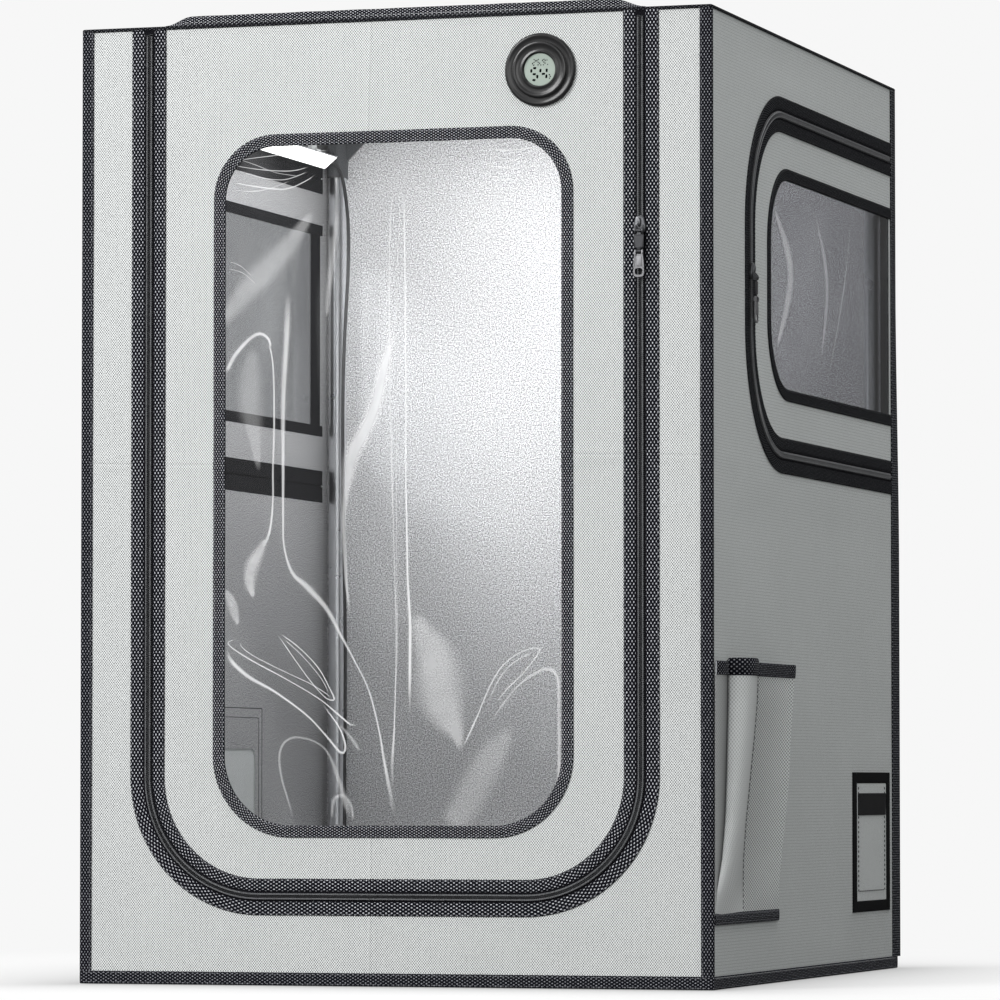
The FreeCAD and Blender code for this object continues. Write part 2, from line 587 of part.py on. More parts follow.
lead_points = [Vector(*p) for p in LEAD]
curve = Part.BSplineCurve()
curve.interpolate(lead_points)
section = Part.Wire([Part.makeCircle(
    LEAD_R, lead_points[0], curve.tangent(curve.FirstParameter)[0])])
lead = Part.Wire([curve.toShape()]).makePipeShell([section], True, True)
# Trim the lead flush with the outer face of the channel's rear end cap
lead = lead.cut(box(-265.0, LED_Y1 - 12.0, 735.0, -245.0, LED_Y1 + CAP_T, 757.0))
plug = box(-243.5, 212.0, 29.5, -232.5, 236.0, 36.5)
put("led_power_lead", lead.fuse(plug))
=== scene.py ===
"""A cloth enclosure on a tube frame: lined walls, a zipped front door and two zipped side
doors with clear windows, a round hygrometer, a pocket, two cable ports and a light.

It stands on z = 0, centred on x and y.  The front faces -y and the right wall is at +x.
Sizes are in mm and are scaled to metres when each mesh is built.
"""
import math

import bmesh
import bpy
import numpy as np
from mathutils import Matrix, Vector, noise
from mathutils.geometry import delaunay_2d_cdt


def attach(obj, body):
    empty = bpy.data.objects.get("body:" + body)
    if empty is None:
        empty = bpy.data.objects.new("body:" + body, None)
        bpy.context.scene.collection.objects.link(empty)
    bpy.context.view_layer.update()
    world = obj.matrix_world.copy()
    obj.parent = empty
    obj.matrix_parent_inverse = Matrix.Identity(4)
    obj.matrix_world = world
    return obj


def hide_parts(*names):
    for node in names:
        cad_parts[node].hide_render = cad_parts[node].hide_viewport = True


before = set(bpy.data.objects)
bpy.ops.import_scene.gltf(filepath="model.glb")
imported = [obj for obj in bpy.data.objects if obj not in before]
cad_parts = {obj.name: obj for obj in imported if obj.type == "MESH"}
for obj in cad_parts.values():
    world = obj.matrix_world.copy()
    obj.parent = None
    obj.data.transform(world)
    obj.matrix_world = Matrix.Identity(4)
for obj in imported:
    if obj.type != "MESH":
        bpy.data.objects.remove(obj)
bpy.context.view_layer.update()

MM = 0.001

# ---------------------------------------------------------------------------
# Driving sizes.  R is a corner radius
# ---------------------------------------------------------------------------
WIDTH, DEPTH, HEIGHT = 550.0, 620.0, 800.0
HALF_W, HALF_D = WIDTH / 2, DEPTH / 2
PANEL_X, PANEL_Y = HALF_W - 1.0, HALF_D - 1.0       # half sizes of the cut cloth
WALL_BOTTOM, WALL_TOP = 1.3, 797.8
# front zip: a U that opens upwards
ZIP_X, ZIP_BOTTOM, ZIP_R = 214.0, 73.5, 98.4
# side zips: a U that opens towards the rear
SIDE_Y, SIDE_TOP, SIDE_BOTTOM, SIDE_R, SIDE_REAR = -192.0, 732.5, 444.0, 102.0, 292.0
# outer edges of the window bindings
WIN_X, WIN_BOTTOM, WIN_TOP, WIN_R_TOP, WIN_R_LOW = 156.5, 122.0, 706.0, 54.0, 68.0
SIDE_WIN_Y, SIDE_WIN_BOTTOM, SIDE_WIN_TOP, SIDE_WIN_R = -137.0, 490.5, 688.5, 67.0
SIDE_WIN_REAR = SIDE_REAR - 6
BAND_HALF = 5.0                                     # half width of a window binding
ZIP_GAP = 4.6                                       # cloth edge to the zip centreline
GAUGE_X, GAUGE_Z, GAUGE_HOLE_R = 128.7, 751.3, 24.4
# front lower corner of each cable port, then their size
PORT_RIGHT, PORT_LEFT = (147.0, 53.0), (-1.0, 115.0)
PORT_W, PORT_H = 134.0, 123.5
POCKET_FRONT, POCKET_SEAM, POCKET_REAR = -307.0, -223.5, -109.0
POCKET_BOTTOM, POCKET_TOP = 52.0, 266.0
# packing folds: place, then the period and size of their sway
FOLD_Z, FOLD_Z_PERIOD, FOLD_Z_SWAY = 433.0, 75.0, 2.2
FOLD_X, FOLD_X_PERIOD, FOLD_X_SWAY = -20.0, 60.0, 1.8


# ---------------------------------------------------------------------------
# Node writers
# ---------------------------------------------------------------------------
class Nodes:
    """Writes shader nodes: sockets or plain values go in, sockets come out."""

    def __init__(self, tree, output):
        self.tree = tree
        tree.nodes.clear()
        self.out = self.node(output)

    def node(self, kind, **props):
        made = self.tree.nodes.new("ShaderNode" + kind)
        for key, value in props.items():
            setattr(made, key, value)
        return made

    def put(self, socket, value):
        if isinstance(value, bpy.types.NodeSocket):
            self.tree.links.new(value, socket)
        elif isinstance(value, tuple) and socket.type == "RGBA":
            socket.default_value = (*value, 1.0)
        else:
            socket.default_value = value

    def fill(self, node, values):
        for socket, value in zip(node.inputs, values):
            self.put(socket, value)
        return node.outputs[0]

    def math(self, operation, a, b=0.0, clamp=False):
        return self.fill(self.node("Math", operation=operation, use_clamp=clamp), (a, b, 0.0))

    def mul(self, a, b, clamp=False):
        return self.math("MULTIPLY", a, b, clamp)

    def add(self, a, b, clamp=False):
        return self.math("ADD", a, b, clamp)

    def sub(self, a, b):
        return self.math("SUBTRACT", a, b)

    def absolute(self, a):
        return self.math("ABSOLUTE", a)

    def vec(self, x, y, z=0.0):
        return self.fill(self.node("CombineXYZ"), (x, y, z))

    def split(self, vector):
        made = self.node("SeparateXYZ")
        self.put(made.inputs[0], vector)
        return made.outputs

    def shader(self, kind, **inputs):
        made = self.node(kind)
        for key, value in inputs.items():
            self.put(made.inputs[key], value)
        return made.outputs[0]


class Mat(Nodes):
    """A material and the texture nodes it is written with."""

    SOCKETS = dict(color="Base Color", rough="Roughness", metal="Metallic", normal="Normal",
                   spec="Specular IOR Level", coat="Coat Weight", coat_rough="Coat Roughness",
                   sheen="Sheen Weight", sheen_rough="Sheen Roughness",
                   emit="Emission Color", glow="Emission Strength")

    def __init__(self, name):
        self.material = bpy.data.materials.new(name)
        self.material.use_nodes = True
        super().__init__(self.material.node_tree, "OutputMaterial")

    def mix(self, factor, a, b, blend="MIX"):
        made = self.node("Mix", data_type="RGBA", blend_type=blend)
        for index, value in ((0, factor), (6, a), (7, b)):
            self.put(made.inputs[index], value)
        return made.outputs[2]

    def remap(self, value, low, high, to_low=0.0, to_high=1.0, smooth=True):
        kind = "SMOOTHSTEP" if smooth else "LINEAR"
        return self.fill(self.node("MapRange", interpolation_type=kind),
                         (value, low, high, to_low, to_high))

    def uv(self):
        """Cloth coordinates: x along, y across, in mm."""
        return self.node("UVMap", uv_map="mm").outputs[0]

    def object_mm(self):
        made = self.node("VectorMath", operation="SCALE")
        self.put(made.inputs[0], self.node("TexCoord").outputs["Object"])
        self.put(made.inputs["Scale"], 1000.0)
        return made.outputs[0]

    def stretch(self, vector, scale):
        return self.fill(self.node("VectorMath", operation="MULTIPLY"), (vector, scale))

    def noise(self, vector, scale, detail=2.0, rough=0.5, distort=0.0):
        made = self.node("TexNoise")
        for key, value in (("Vector", vector), ("Scale", scale), ("Detail", detail),
                           ("Roughness", rough), ("Distortion", distort)):
            self.put(made.inputs[key], value)
        return made.outputs["Fac"]

    def voronoi(self, vector, scale):
        made = self.node("TexVoronoi")
        self.put(made.inputs["Vector"], vector)
        self.put(made.inputs["Scale"], scale)
        return made.outputs["Distance"]

    def cosine(self, value, period):
        return self.math("COSINE", self.mul(value, 2 * math.pi / period))

    def lattice(self, x, y, pitch_x, pitch_y):
        """Staggered dots: 1 on a dot, -1 between."""
        return self.mul(self.cosine(x, pitch_x), self.cosine(y, pitch_y))

    def bump(self, height, distance, strength, normal=None):
        inputs = dict(Height=height, Distance=distance, Strength=strength)
        if normal is not None:
            inputs["Normal"] = normal
        return self.shader("Bump", **inputs)

    def principled(self, **values):
        return self.shader("BsdfPrincipled", **{self.SOCKETS[k]: v for k, v in values.items()})

    def mix_shader(self, factor, a, b):
        return self.fill(self.node("MixShader"), (factor, a, b))

    def finish(self, shader):
        self.put(self.out.inputs[0], shader)
        return self.material

    def done(self, **values):
        return self.finish(self.principled(**values))


def scaled(color, factor):
    return tuple(min(1, k * factor) for k in color)


# ---------------------------------------------------------------------------
# Procedural materials.  Noise scales are per mm
# ---------------------------------------------------------------------------
def woven(name, tint=(0.90, 0.925, 0.92), contrast=0.84, pitch=(2.13, 2.60), sheen=0.08,
          tone=None, rib=0.0, painted_fold_light=False):
    """Plain weave: raised crossings on a staggered lattice.  tone paints light and shade by
    place, rib adds cross ribs and painted_fold_light paints shade and a highlight beside each
    packing fold."""
    mat = Mat(name)
    uv = mat.uv()
    x, y, _ = mat.split(uv)
    wobble = mat.mul(mat.sub(mat.noise(uv, scale=0.03, detail=2), 0.5), 0.6)
    height = mat.lattice(mat.add(x, wobble), mat.add(y, wobble), *pitch)
    if rib:
        height = mat.add(mat.mul(height, 1.0 - rib), mat.mul(mat.cosine(y, pitch[1]), rib))
    height = mat.remap(height, low=-0.75, high=0.40)
    fine = mat.noise(uv, scale=0.9, detail=3, rough=0.6)
    big = mat.noise(uv, scale=0.006, detail=3, rough=0.55)
    middle = mat.noise(mat.stretch(uv, (1.0, 0.35, 1.0)), scale=0.03, detail=3, rough=0.6)
    shade = mat.add(1.0 - contrast, mat.mul(height, contrast))
    # each noise varies the shade from low to low + span
    for grain, low, span in ((fine, 0.965, 0.07), (big, 0.97, 0.06), (middle, 0.985, 0.03)):
        shade = mat.mul(shade, mat.add(low, mat.mul(grain, span)))
    if painted_fold_light:
        # painted shade on one side of each fold line and a painted highlight on the other
        for value, along, place, period, sway, width in (
                (y, x, FOLD_Z, FOLD_Z_PERIOD, FOLD_Z_SWAY, 1.5),
                (x, y, FOLD_X, FOLD_X_PERIOD, FOLD_X_SWAY, 1.3)):
            swing = mat.mul(mat.math("SINE", mat.math("DIVIDE", along, period)), sway)
            off = mat.sub(value, mat.add(place, swing))
            dark = mat.remap(mat.absolute(mat.sub(off, 1.0)), 0.0, width, to_low=0.90)
            light = mat.remap(mat.absolute(mat.add(off, 1.0)), 0.0, width, to_low=1.06)
            shade = mat.mul(shade, mat.mul(dark, light))
    if tone:
        shade = mat.mul(shade, tone(mat, x, y))
    normal = mat.bump(height, distance=0.00018, strength=0.6)
    normal = mat.bump(middle, distance=0.0005, strength=0.20, normal=normal)
    return mat.done(color=mat.mix(1.0, tint, mat.vec(shade, shade, shade), "MULTIPLY"),
                    rough=mat.add(0.74, mat.mul(fine, 0.14)), normal=normal, spec=0.22,
                    sheen=sheen, sheen_rough=0.4)


def webbing(name, base=(0.0045, 0.005, 0.0075), dot=(0.78, 0.79, 0.84), pitch=(3.95, 2.26),
            amount=1.0):
    """Woven narrow tape: dark ground with staggered picks, the weave's own pattern, made light
    by a painted glint of the glossy yarn.
    """
    mat = Mat(name)
    uv = mat.uv()
    x, y, _ = mat.split(uv)
    height = mat.lattice(x, y, *pitch)
    dots = mat.remap(height, low=0.30, high=0.82)
    glint_patches = mat.remap(mat.noise(uv, scale=0.45, detail=2, rough=0.6), 0.25, 0.70, to_low=0.35)
    dots = mat.mul(dots, mat.mul(amount, glint_patches))
    fine = mat.noise(uv, scale=1.6, detail=2, rough=0.5)
    ground = mat.mix(fine, scaled(base, 0.5), scaled(base, 2.2))
    return mat.done(color=mat.mix(dots, ground, dot), rough=mat.sub(0.80, mat.mul(dots, 0.2)),
                    normal=mat.bump(height, distance=0.00025, strength=0.6), spec=0.05)


def foil(name, level=1.0):
    """Metallised lining with a fine sparkling grain; level scales its brightness, and a low
    level paints shade on the side walls' lining.
    """
    mat = Mat(name)
    uv = mat.uv()
    cells = mat.voronoi(uv, scale=0.95)
    grain = mat.noise(uv, scale=0.85, detail=4, rough=0.9)
    cloud = mat.noise(uv, scale=0.012, detail=3, rough=0.55)
    height = mat.add(mat.mul(cells, 0.6), grain)
    color = mat.mix(mat.remap(grain, low=0.44, high=0.57), scaled((0.14, 0.14, 0.145), level),
                    scaled((0.98, 0.98, 0.99), level))
    color = mat.mix(mat.mul(cloud, 0.15), color, scaled((0.58, 0.58, 0.59), level))
    return mat.done(color=color, metal=0.35, rough=mat.add(0.36, mat.mul(cells, 0.22)),
                    normal=mat.bump(height, distance=0.0004, strength=0.45), spec=0.6)


def clear_film(name):
    """Clear sheet: see-through, darker at a slant, faintly milky, with soft reflections."""
    mat = Mat(name)
    uv = mat.uv()
    haze = mat.noise(mat.stretch(uv, (1.0, 0.4, 1.0)), scale=0.009, detail=2, rough=0.45,
                     distort=0.9)
    weight = mat.node("LayerWeight")
    mat.put(weight.inputs["Blend"], 0.5)
    slant = mat.remap(weight.outputs["Facing"], low=0.42, high=0.80)
    facing = mat.mix(haze, (0.995, 0.997, 1.0), (0.96, 0.968, 0.97))
    through = mat.shader("BsdfTransparent", Color=mat.mix(slant, facing, (0.46, 0.465, 0.48)))
    scuff = mat.noise(uv, scale=0.35, detail=4, rough=0.7)
    gloss = mat.shader("BsdfGlossy", Color=(0.8, 0.8, 0.8),
                       Roughness=mat.add(0.10, mat.mul(scuff, 0.08)))
    milk = mat.shader("BsdfDiffuse", Color=(0.95, 0.96, 0.97))
    fresnel = mat.shader("Fresnel", IOR=1.30)
    shine = mat.math("MINIMUM", mat.mul(fresnel, 0.9), 0.12)
    surface = mat.mix_shader(shine, through, gloss)
    milkiness = mat.add(0.006, mat.mul(mat.remap(haze, low=0.5, high=0.78), 0.06))
    return mat.finish(mat.mix_shader(milkiness, surface, milk))


def painted_reflection_material(name, amount, soft):
    """Painted reflection on the clear sheet: a white streak that also glows faintly; its UVs run
    0-1 along and 0-1 across.
    """
    mat = Mat(name)
    x, y, _ = mat.split(mat.uv())
    across = mat.sub(1.0, mat.absolute(mat.sub(mat.mul(y, 2.0), 1.0)))
    body = mat.math("POWER", mat.remap(across, 0.0, soft), 1.4)
    ends = mat.mul(mat.remap(x, low=0.0, high=0.10), mat.remap(x, low=1.0, high=0.90))
    patchy = mat.noise(mat.vec(mat.mul(x, 4.0), mat.mul(y, 0.8)), scale=1.0, detail=2)
    factor = mat.mul(mat.mul(body, ends),
                     mat.mul(amount, mat.remap(patchy, low=0.2, high=0.7, to_low=0.62)))
    # painted reflection: white diffuse with a faint glow
    white = mat.fill(mat.node("AddShader"), (
        mat.shader("BsdfDiffuse", Color=(0.96, 0.965, 0.97)),
        mat.shader("Emission", Color=(0.30, 0.30, 0.305))))
    return mat.finish(mat.mix_shader(factor, mat.shader("BsdfTransparent"), white))


def metal(name, color, rough, grain=(1.0, 1.0, 0.02), scale=1.2):
    """Metal with a grain drawn out along the axis where grain is small."""
    mat = Mat(name)
    place = mat.object_mm()
    fine = mat.noise(mat.stretch(place, grain), scale=scale, detail=4, rough=0.6)
    cloud = mat.noise(place, scale=0.03, detail=3, rough=0.6)
    return mat.done(color=mat.mix(fine, scaled(color, 0.86), scaled(color, 1.12)), metal=1.0,
                    rough=mat.add(rough, mat.mul(cloud, 0.10)),
                    normal=mat.bump(fine, distance=0.00004, strength=0.5))


def plastic(name, color, rough=0.45, grain=1.6, bump=0.00006, spec=0.45, coat=0.0):
    mat = Mat(name)
    place = mat.object_mm()
    fine = mat.noise(place, scale=grain, detail=4, rough=0.65)
    cloud = mat.noise(place, scale=0.05, detail=3, rough=0.6)
    return mat.done(color=mat.mix(cloud, scaled(color, 0.82), scaled(color, 1.2)),
                    rough=mat.add(rough - 0.06, mat.mul(cloud, 0.14)),
                    normal=mat.bump(fine, distance=bump, strength=0.6), spec=spec, coat=coat,
                    coat_rough=0.14)


def display_glass():
    mat = Mat("display glass")
    cloud = mat.noise(mat.object_mm(), scale=0.09, detail=2)
    return mat.done(color=mat.mix(cloud, (0.36, 0.43, 0.38), (0.46, 0.53, 0.47)), rough=0.22,
                    spec=0.5, coat=0.35, coat_rough=0.08)


def light_diffuser(strength, led_pitch):
    """Glowing cover, slightly brighter over each lamp along y."""
    mat = Mat("light diffuser")
    place = mat.object_mm()
    lamps = mat.math("SINE", mat.mul(mat.split(place)[1], 2 * math.pi / led_pitch))
    glow = mat.mul(strength, mat.add(0.93, mat.mul(lamps, 0.07)))
    cloud = mat.noise(place, scale=0.5, detail=2)
    return mat.done(color=mat.mix(cloud, (0.88, 0.88, 0.87), (0.95, 0.95, 0.94)), rough=0.5,
                    emit=(1.0, 0.985, 0.96), glow=glow)


def hook_and_loop():
    mat = Mat("hook and loop")
    uv = mat.uv()
    cells = mat.voronoi(uv, scale=1.1)
    fuzz = mat.noise(uv, scale=1.5, detail=4, rough=0.8)
    color = mat.mix(mat.remap(fuzz, low=0.42, high=0.72), (0.003, 0.003, 0.0035),
                    (0.045, 0.045, 0.05))
    return mat.done(color=color, rough=0.9, sheen=0.05, spec=0.05,
                    normal=mat.bump(mat.sub(fuzz, cells), distance=0.0008, strength=0.9))


def side_painted_shade(mat, x, y):
    """Painted shade: the side cloth darkens towards the floor, where less light reaches it."""
    return mat.remap(y, low=-40.0, high=520.0, to_low=0.80, smooth=False)


EVEN = (1, 1, 1)                                    # metal grain with no direction
CLOTH = woven("cover cloth", painted_fold_light=True)
# The side cloth carries the painted shade above; its slightly greener tint paints the cool light
# on the sides.
SIDE_CLOTH = woven("cover cloth side", tint=(0.89, 0.925, 0.918), contrast=0.80, rib=0.14,
                   tone=side_painted_shade)
FLAP_CLOTH = woven("flap cloth", tint=(0.78, 0.81, 0.805), contrast=0.62, pitch=(2.0, 2.2),
                   sheen=0.1)
LINING = foil("silver lining")
# Painted shade: the side walls' lining is a darker copy of the same foil.
SHADED_SIDE_LINING = foil("silver lining side", level=0.74)
# The light picks of these tapes are painted glints of the glossy weave.
WEB = webbing("edge webbing")
DOOR_WEB = webbing("door webbing", pitch=(4.9, 3.02))
CORNER_WEB = webbing("corner webbing", dot=(0.66, 0.67, 0.72), pitch=(4.4, 2.7), amount=0.62)
# Painted shade: the side and roof tapes are a darker copy of the webbing, their glints dimmed.
SHADED_SIDE_WEB = webbing("side webbing", base=(0.0035, 0.0038, 0.005), dot=(0.17, 0.175, 0.19),
                   amount=0.8)
INNER_WEB = webbing("inner binding", base=(0.005, 0.005, 0.006), dot=(0.03, 0.03, 0.034),
                    amount=0.6)
PORT_WEB = webbing("port binding", base=(0.004, 0.004, 0.0045), dot=(0.022, 0.022, 0.024),
                   pitch=(2.6, 1.6), amount=0.8)
ZIP_TAPE = webbing("zip tape", base=(0.004, 0.004, 0.0055), dot=(0.035, 0.035, 0.04),
                   pitch=(2.4, 1.5), amount=0.7)
THREAD = plastic("thread", (0.16, 0.165, 0.18), rough=0.6, grain=3.0)
DARK_THREAD = plastic("dark thread", (0.012, 0.013, 0.015), rough=0.6, grain=3.0)
LIGHT_THREAD = plastic("light thread", (0.42, 0.43, 0.44), rough=0.6, grain=3.0)
ZIP_COIL = plastic("zip coil", (0.085, 0.087, 0.092), rough=0.34, grain=2.0, bump=0.00002,
                   spec=0.6)
ZIP_CORD = plastic("zip cord", (0.22, 0.225, 0.235), rough=0.5, grain=2.0)
FILM = clear_film("clear film")
STEEL = metal("frame tube steel", (0.82, 0.83, 0.85), rough=0.24)
SLIDER_METAL = metal("slider metal", (0.10, 0.102, 0.108), rough=0.30, grain=EVEN, scale=2.0)
LINK_METAL = metal("pull link metal", (0.07, 0.071, 0.075), rough=0.44, grain=(1, 1, 0.3),
                   scale=2.0)
PULL_METAL = metal("pull metal", (0.26, 0.26, 0.27), rough=0.55, grain=(1, 1, 0.2), scale=2.0)
CORNER_PLASTIC = plastic("corner plastic", (0.045, 0.047, 0.050), rough=0.42, grain=1.2,
                         bump=0.00012)
GAUGE_SHELL = plastic("gauge shell", (0.006, 0.006, 0.0065), rough=0.40, grain=1.8,
                      bump=0.00008, spec=0.25, coat=0.3)
GAUGE_BEZEL = plastic("gauge bezel", (0.009, 0.009, 0.0095), rough=0.34, grain=1.8,
                      bump=0.00005, spec=0.3, coat=0.3)
BOARD = plastic("circuit board", (0.01, 0.10, 0.05), rough=0.4, grain=0.8)
CELL = metal("button cell", (0.62, 0.63, 0.64), rough=0.25, grain=EVEN, scale=2.0)
CHANNEL = metal("light channel", (0.70, 0.71, 0.73), rough=0.34, grain=(1, 0.02, 1))
CLIP = plastic("light clip", (0.62, 0.63, 0.63), rough=0.4)
CABLE = plastic("power lead", (0.02, 0.02, 0.021), rough=0.5)
INK = plastic("display ink", (0.004, 0.005, 0.005), rough=0.7, spec=0.05)
DISPLAY = display_glass()
DIFFUSER = light_diffuser(strength=2.4, led_pitch=16.6)
LIGHT_STRIP = plastic("light strip", (0.75, 0.72, 0.55), rough=0.5)
HOOK = hook_and_loop()


# ---------------------------------------------------------------------------
# Meshes
# ---------------------------------------------------------------------------
def tube_faces(rings, size, closed=False):
    """Quads between successive rings of size points; closed joins the last to the first."""
    faces = []
    for i in range(rings if closed else rings - 1):
        here, there = i * size, (i + 1) % rings * size
        for j in range(size):
            k = (j + 1) % size
            faces.append((here + j, there + j, there + k, here + k))
    return faces


def grid_uvs(along, across):
    return [[(a, c), (b, c), (b, d), (a, d)] for a, b in zip(along, along[1:])
            for c, d in zip(across, across[1:])]


class Part:
    """Collects closed pieces in mm; faces keep a UV per corner and a material index."""

    def __init__(self):
        self.verts, self.faces, self.uvs, self.mats = [], [], [], []

    def add(self, verts, faces, uvs=None, mat=0):
        first = len(self.verts)
        self.verts += [tuple(p) for p in verts]
        for k, face in enumerate(faces):
            self.faces.append(tuple(i + first for i in face))
            self.uvs.append(uvs[k] if uvs else
                            [(verts[i][0] + verts[i][1], verts[i][2]) for i in face])
            self.mats.append(mat[k] if isinstance(mat, list) else mat)

    def tube(self, verts, size, closed=False, uvs=None, mat=0):
        """Rings of size points, capped at both ends unless closed."""
        rings = len(verts) // size
        faces = tube_faces(rings, size, closed)
        if not closed:
            faces += [tuple(range(size)), tuple((rings - 1) * size + j for j in range(size))]
        self.add(verts, faces, uvs, mat)

    def prism(self, near, far):
        """Solid between two matching outlines."""
        n = len(near)
        faces = [tuple(range(n)), tuple(n + j for j in range(n))]
        faces += [(j, (j + 1) % n, n + (j + 1) % n, n + j) for j in range(n)]
        self.add(near + far, faces)

    def build(self, name, mats, body, replaces=None, smooth=38, bevel=0.0):
        """smooth is the sharp edge angle in degrees; 0 leaves every edge smooth."""
        mesh = bpy.data.meshes.new(name)
        mesh.from_pydata([(x * MM, y * MM, z * MM) for x, y, z in self.verts], [], self.faces)
        for mat in mats:
            mesh.materials.append(mat)
        mesh.polygons.foreach_set("material_index", self.mats)
        layer = mesh.uv_layers.new(name="mm")
        layer.data.foreach_set("uv", [c for face in self.uvs for point in face for c in point])
        work = bmesh.new()
        work.from_mesh(mesh)
        bmesh.ops.recalc_face_normals(work, faces=work.faces)
        work.to_mesh(mesh)
        work.free()
        mesh.polygons.foreach_set("use_smooth", [True] * len(mesh.polygons))
        if smooth:
            mesh.set_sharp_from_angle(angle=math.radians(smooth))
        made = bpy.data.objects.new(name, mesh)
        bpy.context.scene.collection.objects.link(made)
        if bevel:
            edge = made.modifiers.new("edge", "BEVEL")
            edge.width, edge.segments, edge.limit_method = bevel * MM, 2, "ANGLE"
            edge.angle_limit = math.radians(40)
            edge.harden_normals = False
        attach(made, body)
        if replaces:
            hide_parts(replaces)


# ---------------------------------------------------------------------------
# Paths in a panel's own plane: x across, y up
# ---------------------------------------------------------------------------
class Path:
    """Samples (x, y, normal x, normal y, length along)."""

    def __init__(self, samples, closed=False):
        self.samples, self.closed = samples, closed
        rows = list(samples)
        if closed:
            first, last = samples[0], samples[-1]
            gap = math.hypot(first[0] - last[0], first[1] - last[1])
            rows.append(first[:4] + (last[4] + gap,))
        self.table = np.array(rows)
        self.length = self.table[-1, 4]

    def at(self, along):
        x, y, nx, ny = (float(np.interp(along, self.table[:, 4], self.table[:, k]))
                        for k in range(4))
        size = math.hypot(nx, ny) or 1.0
        return x, y, nx / size, ny / size

    def loop(self, offset):
        return [(x + nx * offset, y + ny * offset) for x, y, nx, ny, _ in self.samples]


def rounded(corners, closed=False, step=6.0, arc=4.0):
    """Path round corners (x, y, radius) taken anticlockwise, its normals outwards.  Samples
    are about step apart on the straights and arc apart on the bends."""
    raw = []                                        # x, y, normal on a bend or None
    for i, (x, y, radius) in enumerate(corners):
        if radius <= 0:
            raw.append((x, y, None))
            continue
        before, after = corners[i - 1], corners[(i + 1) % len(corners)]
        back = Vector((before[0] - x, before[1] - y)).normalized()
        ahead = Vector((after[0] - x, after[1] - y)).normalized()
        half = back.angle(ahead) / 2
        centre = Vector((x, y)) + (back + ahead).normalized() * (radius / math.sin(half))
        start = Vector((x, y)) + back * (radius / math.tan(half)) - centre
        sweep = math.pi - 2 * half
        count = max(6, int(radius * sweep / arc))
        for j in range(count + 1):
            turn = sweep * j / count
            spoke = Vector((start.x * math.cos(turn) - start.y * math.sin(turn),
                            start.x * math.sin(turn) + start.y * math.cos(turn)))
            raw.append((centre.x + spoke.x, centre.y + spoke.y, spoke / radius))
    points = []
    for i in range(len(raw) if closed else len(raw) - 1):
        x, y, bend = raw[i]
        x2, y2, bend2 = raw[(i + 1) % len(raw)]
        length = math.hypot(x2 - x, y2 - y)
        if length < 1e-6:
            continue
        dx, dy = (x2 - x) / length, (y2 - y) / length
        straight = bend is None or bend2 is None or length > arc * 1.6
        count = max(1, round(length / step)) if straight else 1
        for j in range(count):
            normal = bend if bend is not None and j == 0 else Vector((dy, -dx))
            points.append((x + dx * length * j / count, y + dy * length * j / count,
                           normal.x, normal.y))
    if not closed:
        (x, y, _), (x2, y2, _) = raw[-1], raw[-2]
        length = math.hypot(x - x2, y - y2)
        normal = Vector(((y - y2) / length, -(x - x2) / length))
        points.append((x, y, normal.x, normal.y))
    along, samples = 0.0, []
    for i, point in enumerate(points):
        if i:
            along += math.hypot(point[0] - points[i - 1][0], point[1] - points[i - 1][1])
        samples.append(point + (along,))
    return Path(samples, closed)


def rounded_box(x0, y0, x1, y1, low_radius, top_radius=None, **spacing):
    top = low_radius if top_radius is None else top_radius
    return rounded([(x0, y1, top), (x0, y0, low_radius), (x1, y0, low_radius), (x1, y1, top)],
                   True, **spacing)


def side_loop(rear, front, bottom, top, radius):
    """U that opens towards the rear of a side wall."""
    return rounded([(rear, top, 0), (front, top, radius), (front, bottom, radius),
                    (rear, bottom, 0)])


def upright(x, low, high, count, origin=None, normal=1.0):
    """Straight path up a panel; lengths are counted from origin."""
    origin = low if origin is None else origin
    return Path([(x, y, normal, 0.0, y - origin) for y in np.linspace(low, high, count)])


def level(y, start, end, count, origin=None):
    """Straight path across a panel; lengths are counted from origin."""
    origin = start if origin is None else origin
    return Path([(x, y, 0.0, 1.0, x - origin) for x in np.linspace(start, end, count)])


def rect(x0, y0, x1, y1):
    return [(x0, y0), (x1, y0), (x1, y1), (x0, y1)]


# ---------------------------------------------------------------------------
# Faces of the box, and the relief of their cloth
# ---------------------------------------------------------------------------
def ramp(value, low, high):
    t = min(1.0, max(0.0, (value - low) / (high - low)))
    return t * t * (3 - 2 * t)


def noise3(x, y, z=0.0):
    return noise.noise(Vector((x, y, z)))


def ridge(distance, width):
    return math.exp(-(distance / width) ** 2)


def box_distance(x, y, x0, x1, y0, y1):
    return math.hypot(max(x0 - x, x - x1, 0.0), max(y0 - y, y - y1, 0.0))


def edge_fade(x, y, half, side, bottom, top):
    """0 at the wall's edges, 1 inside; each pair is where a ramp starts and ends."""
    return ramp(half - abs(x), *side) * ramp(y, *bottom) * ramp(HEIGHT - 1 - y, *top)


# Noise terms below are: height * noise3(x / x size, y / y size, seed)
def front_relief(x, y):
    fade = edge_fade(x, y, HALF_W, side=(4, 22), bottom=(8, 30), top=(6, 30))
    if y > 150:                          # the zip legs lie straight
        fade *= ramp(abs(abs(x) - ZIP_X) + max(0.0, 190 - y), 6, 30)
    across = y - FOLD_Z - FOLD_Z_SWAY * math.sin(x / FOLD_Z_PERIOD)
    upward = x - FOLD_X - FOLD_X_SWAY * math.sin(y / FOLD_X_PERIOD)
    folds = 0.85 * ridge(across, 3.2) + 0.80 * ridge(upward, 3.2)
    return fade * (0.55 * noise3(x / 75, y / 130, 1.7) + 0.25 * noise3(x / 26, y / 40, 5.2)
                   + folds)


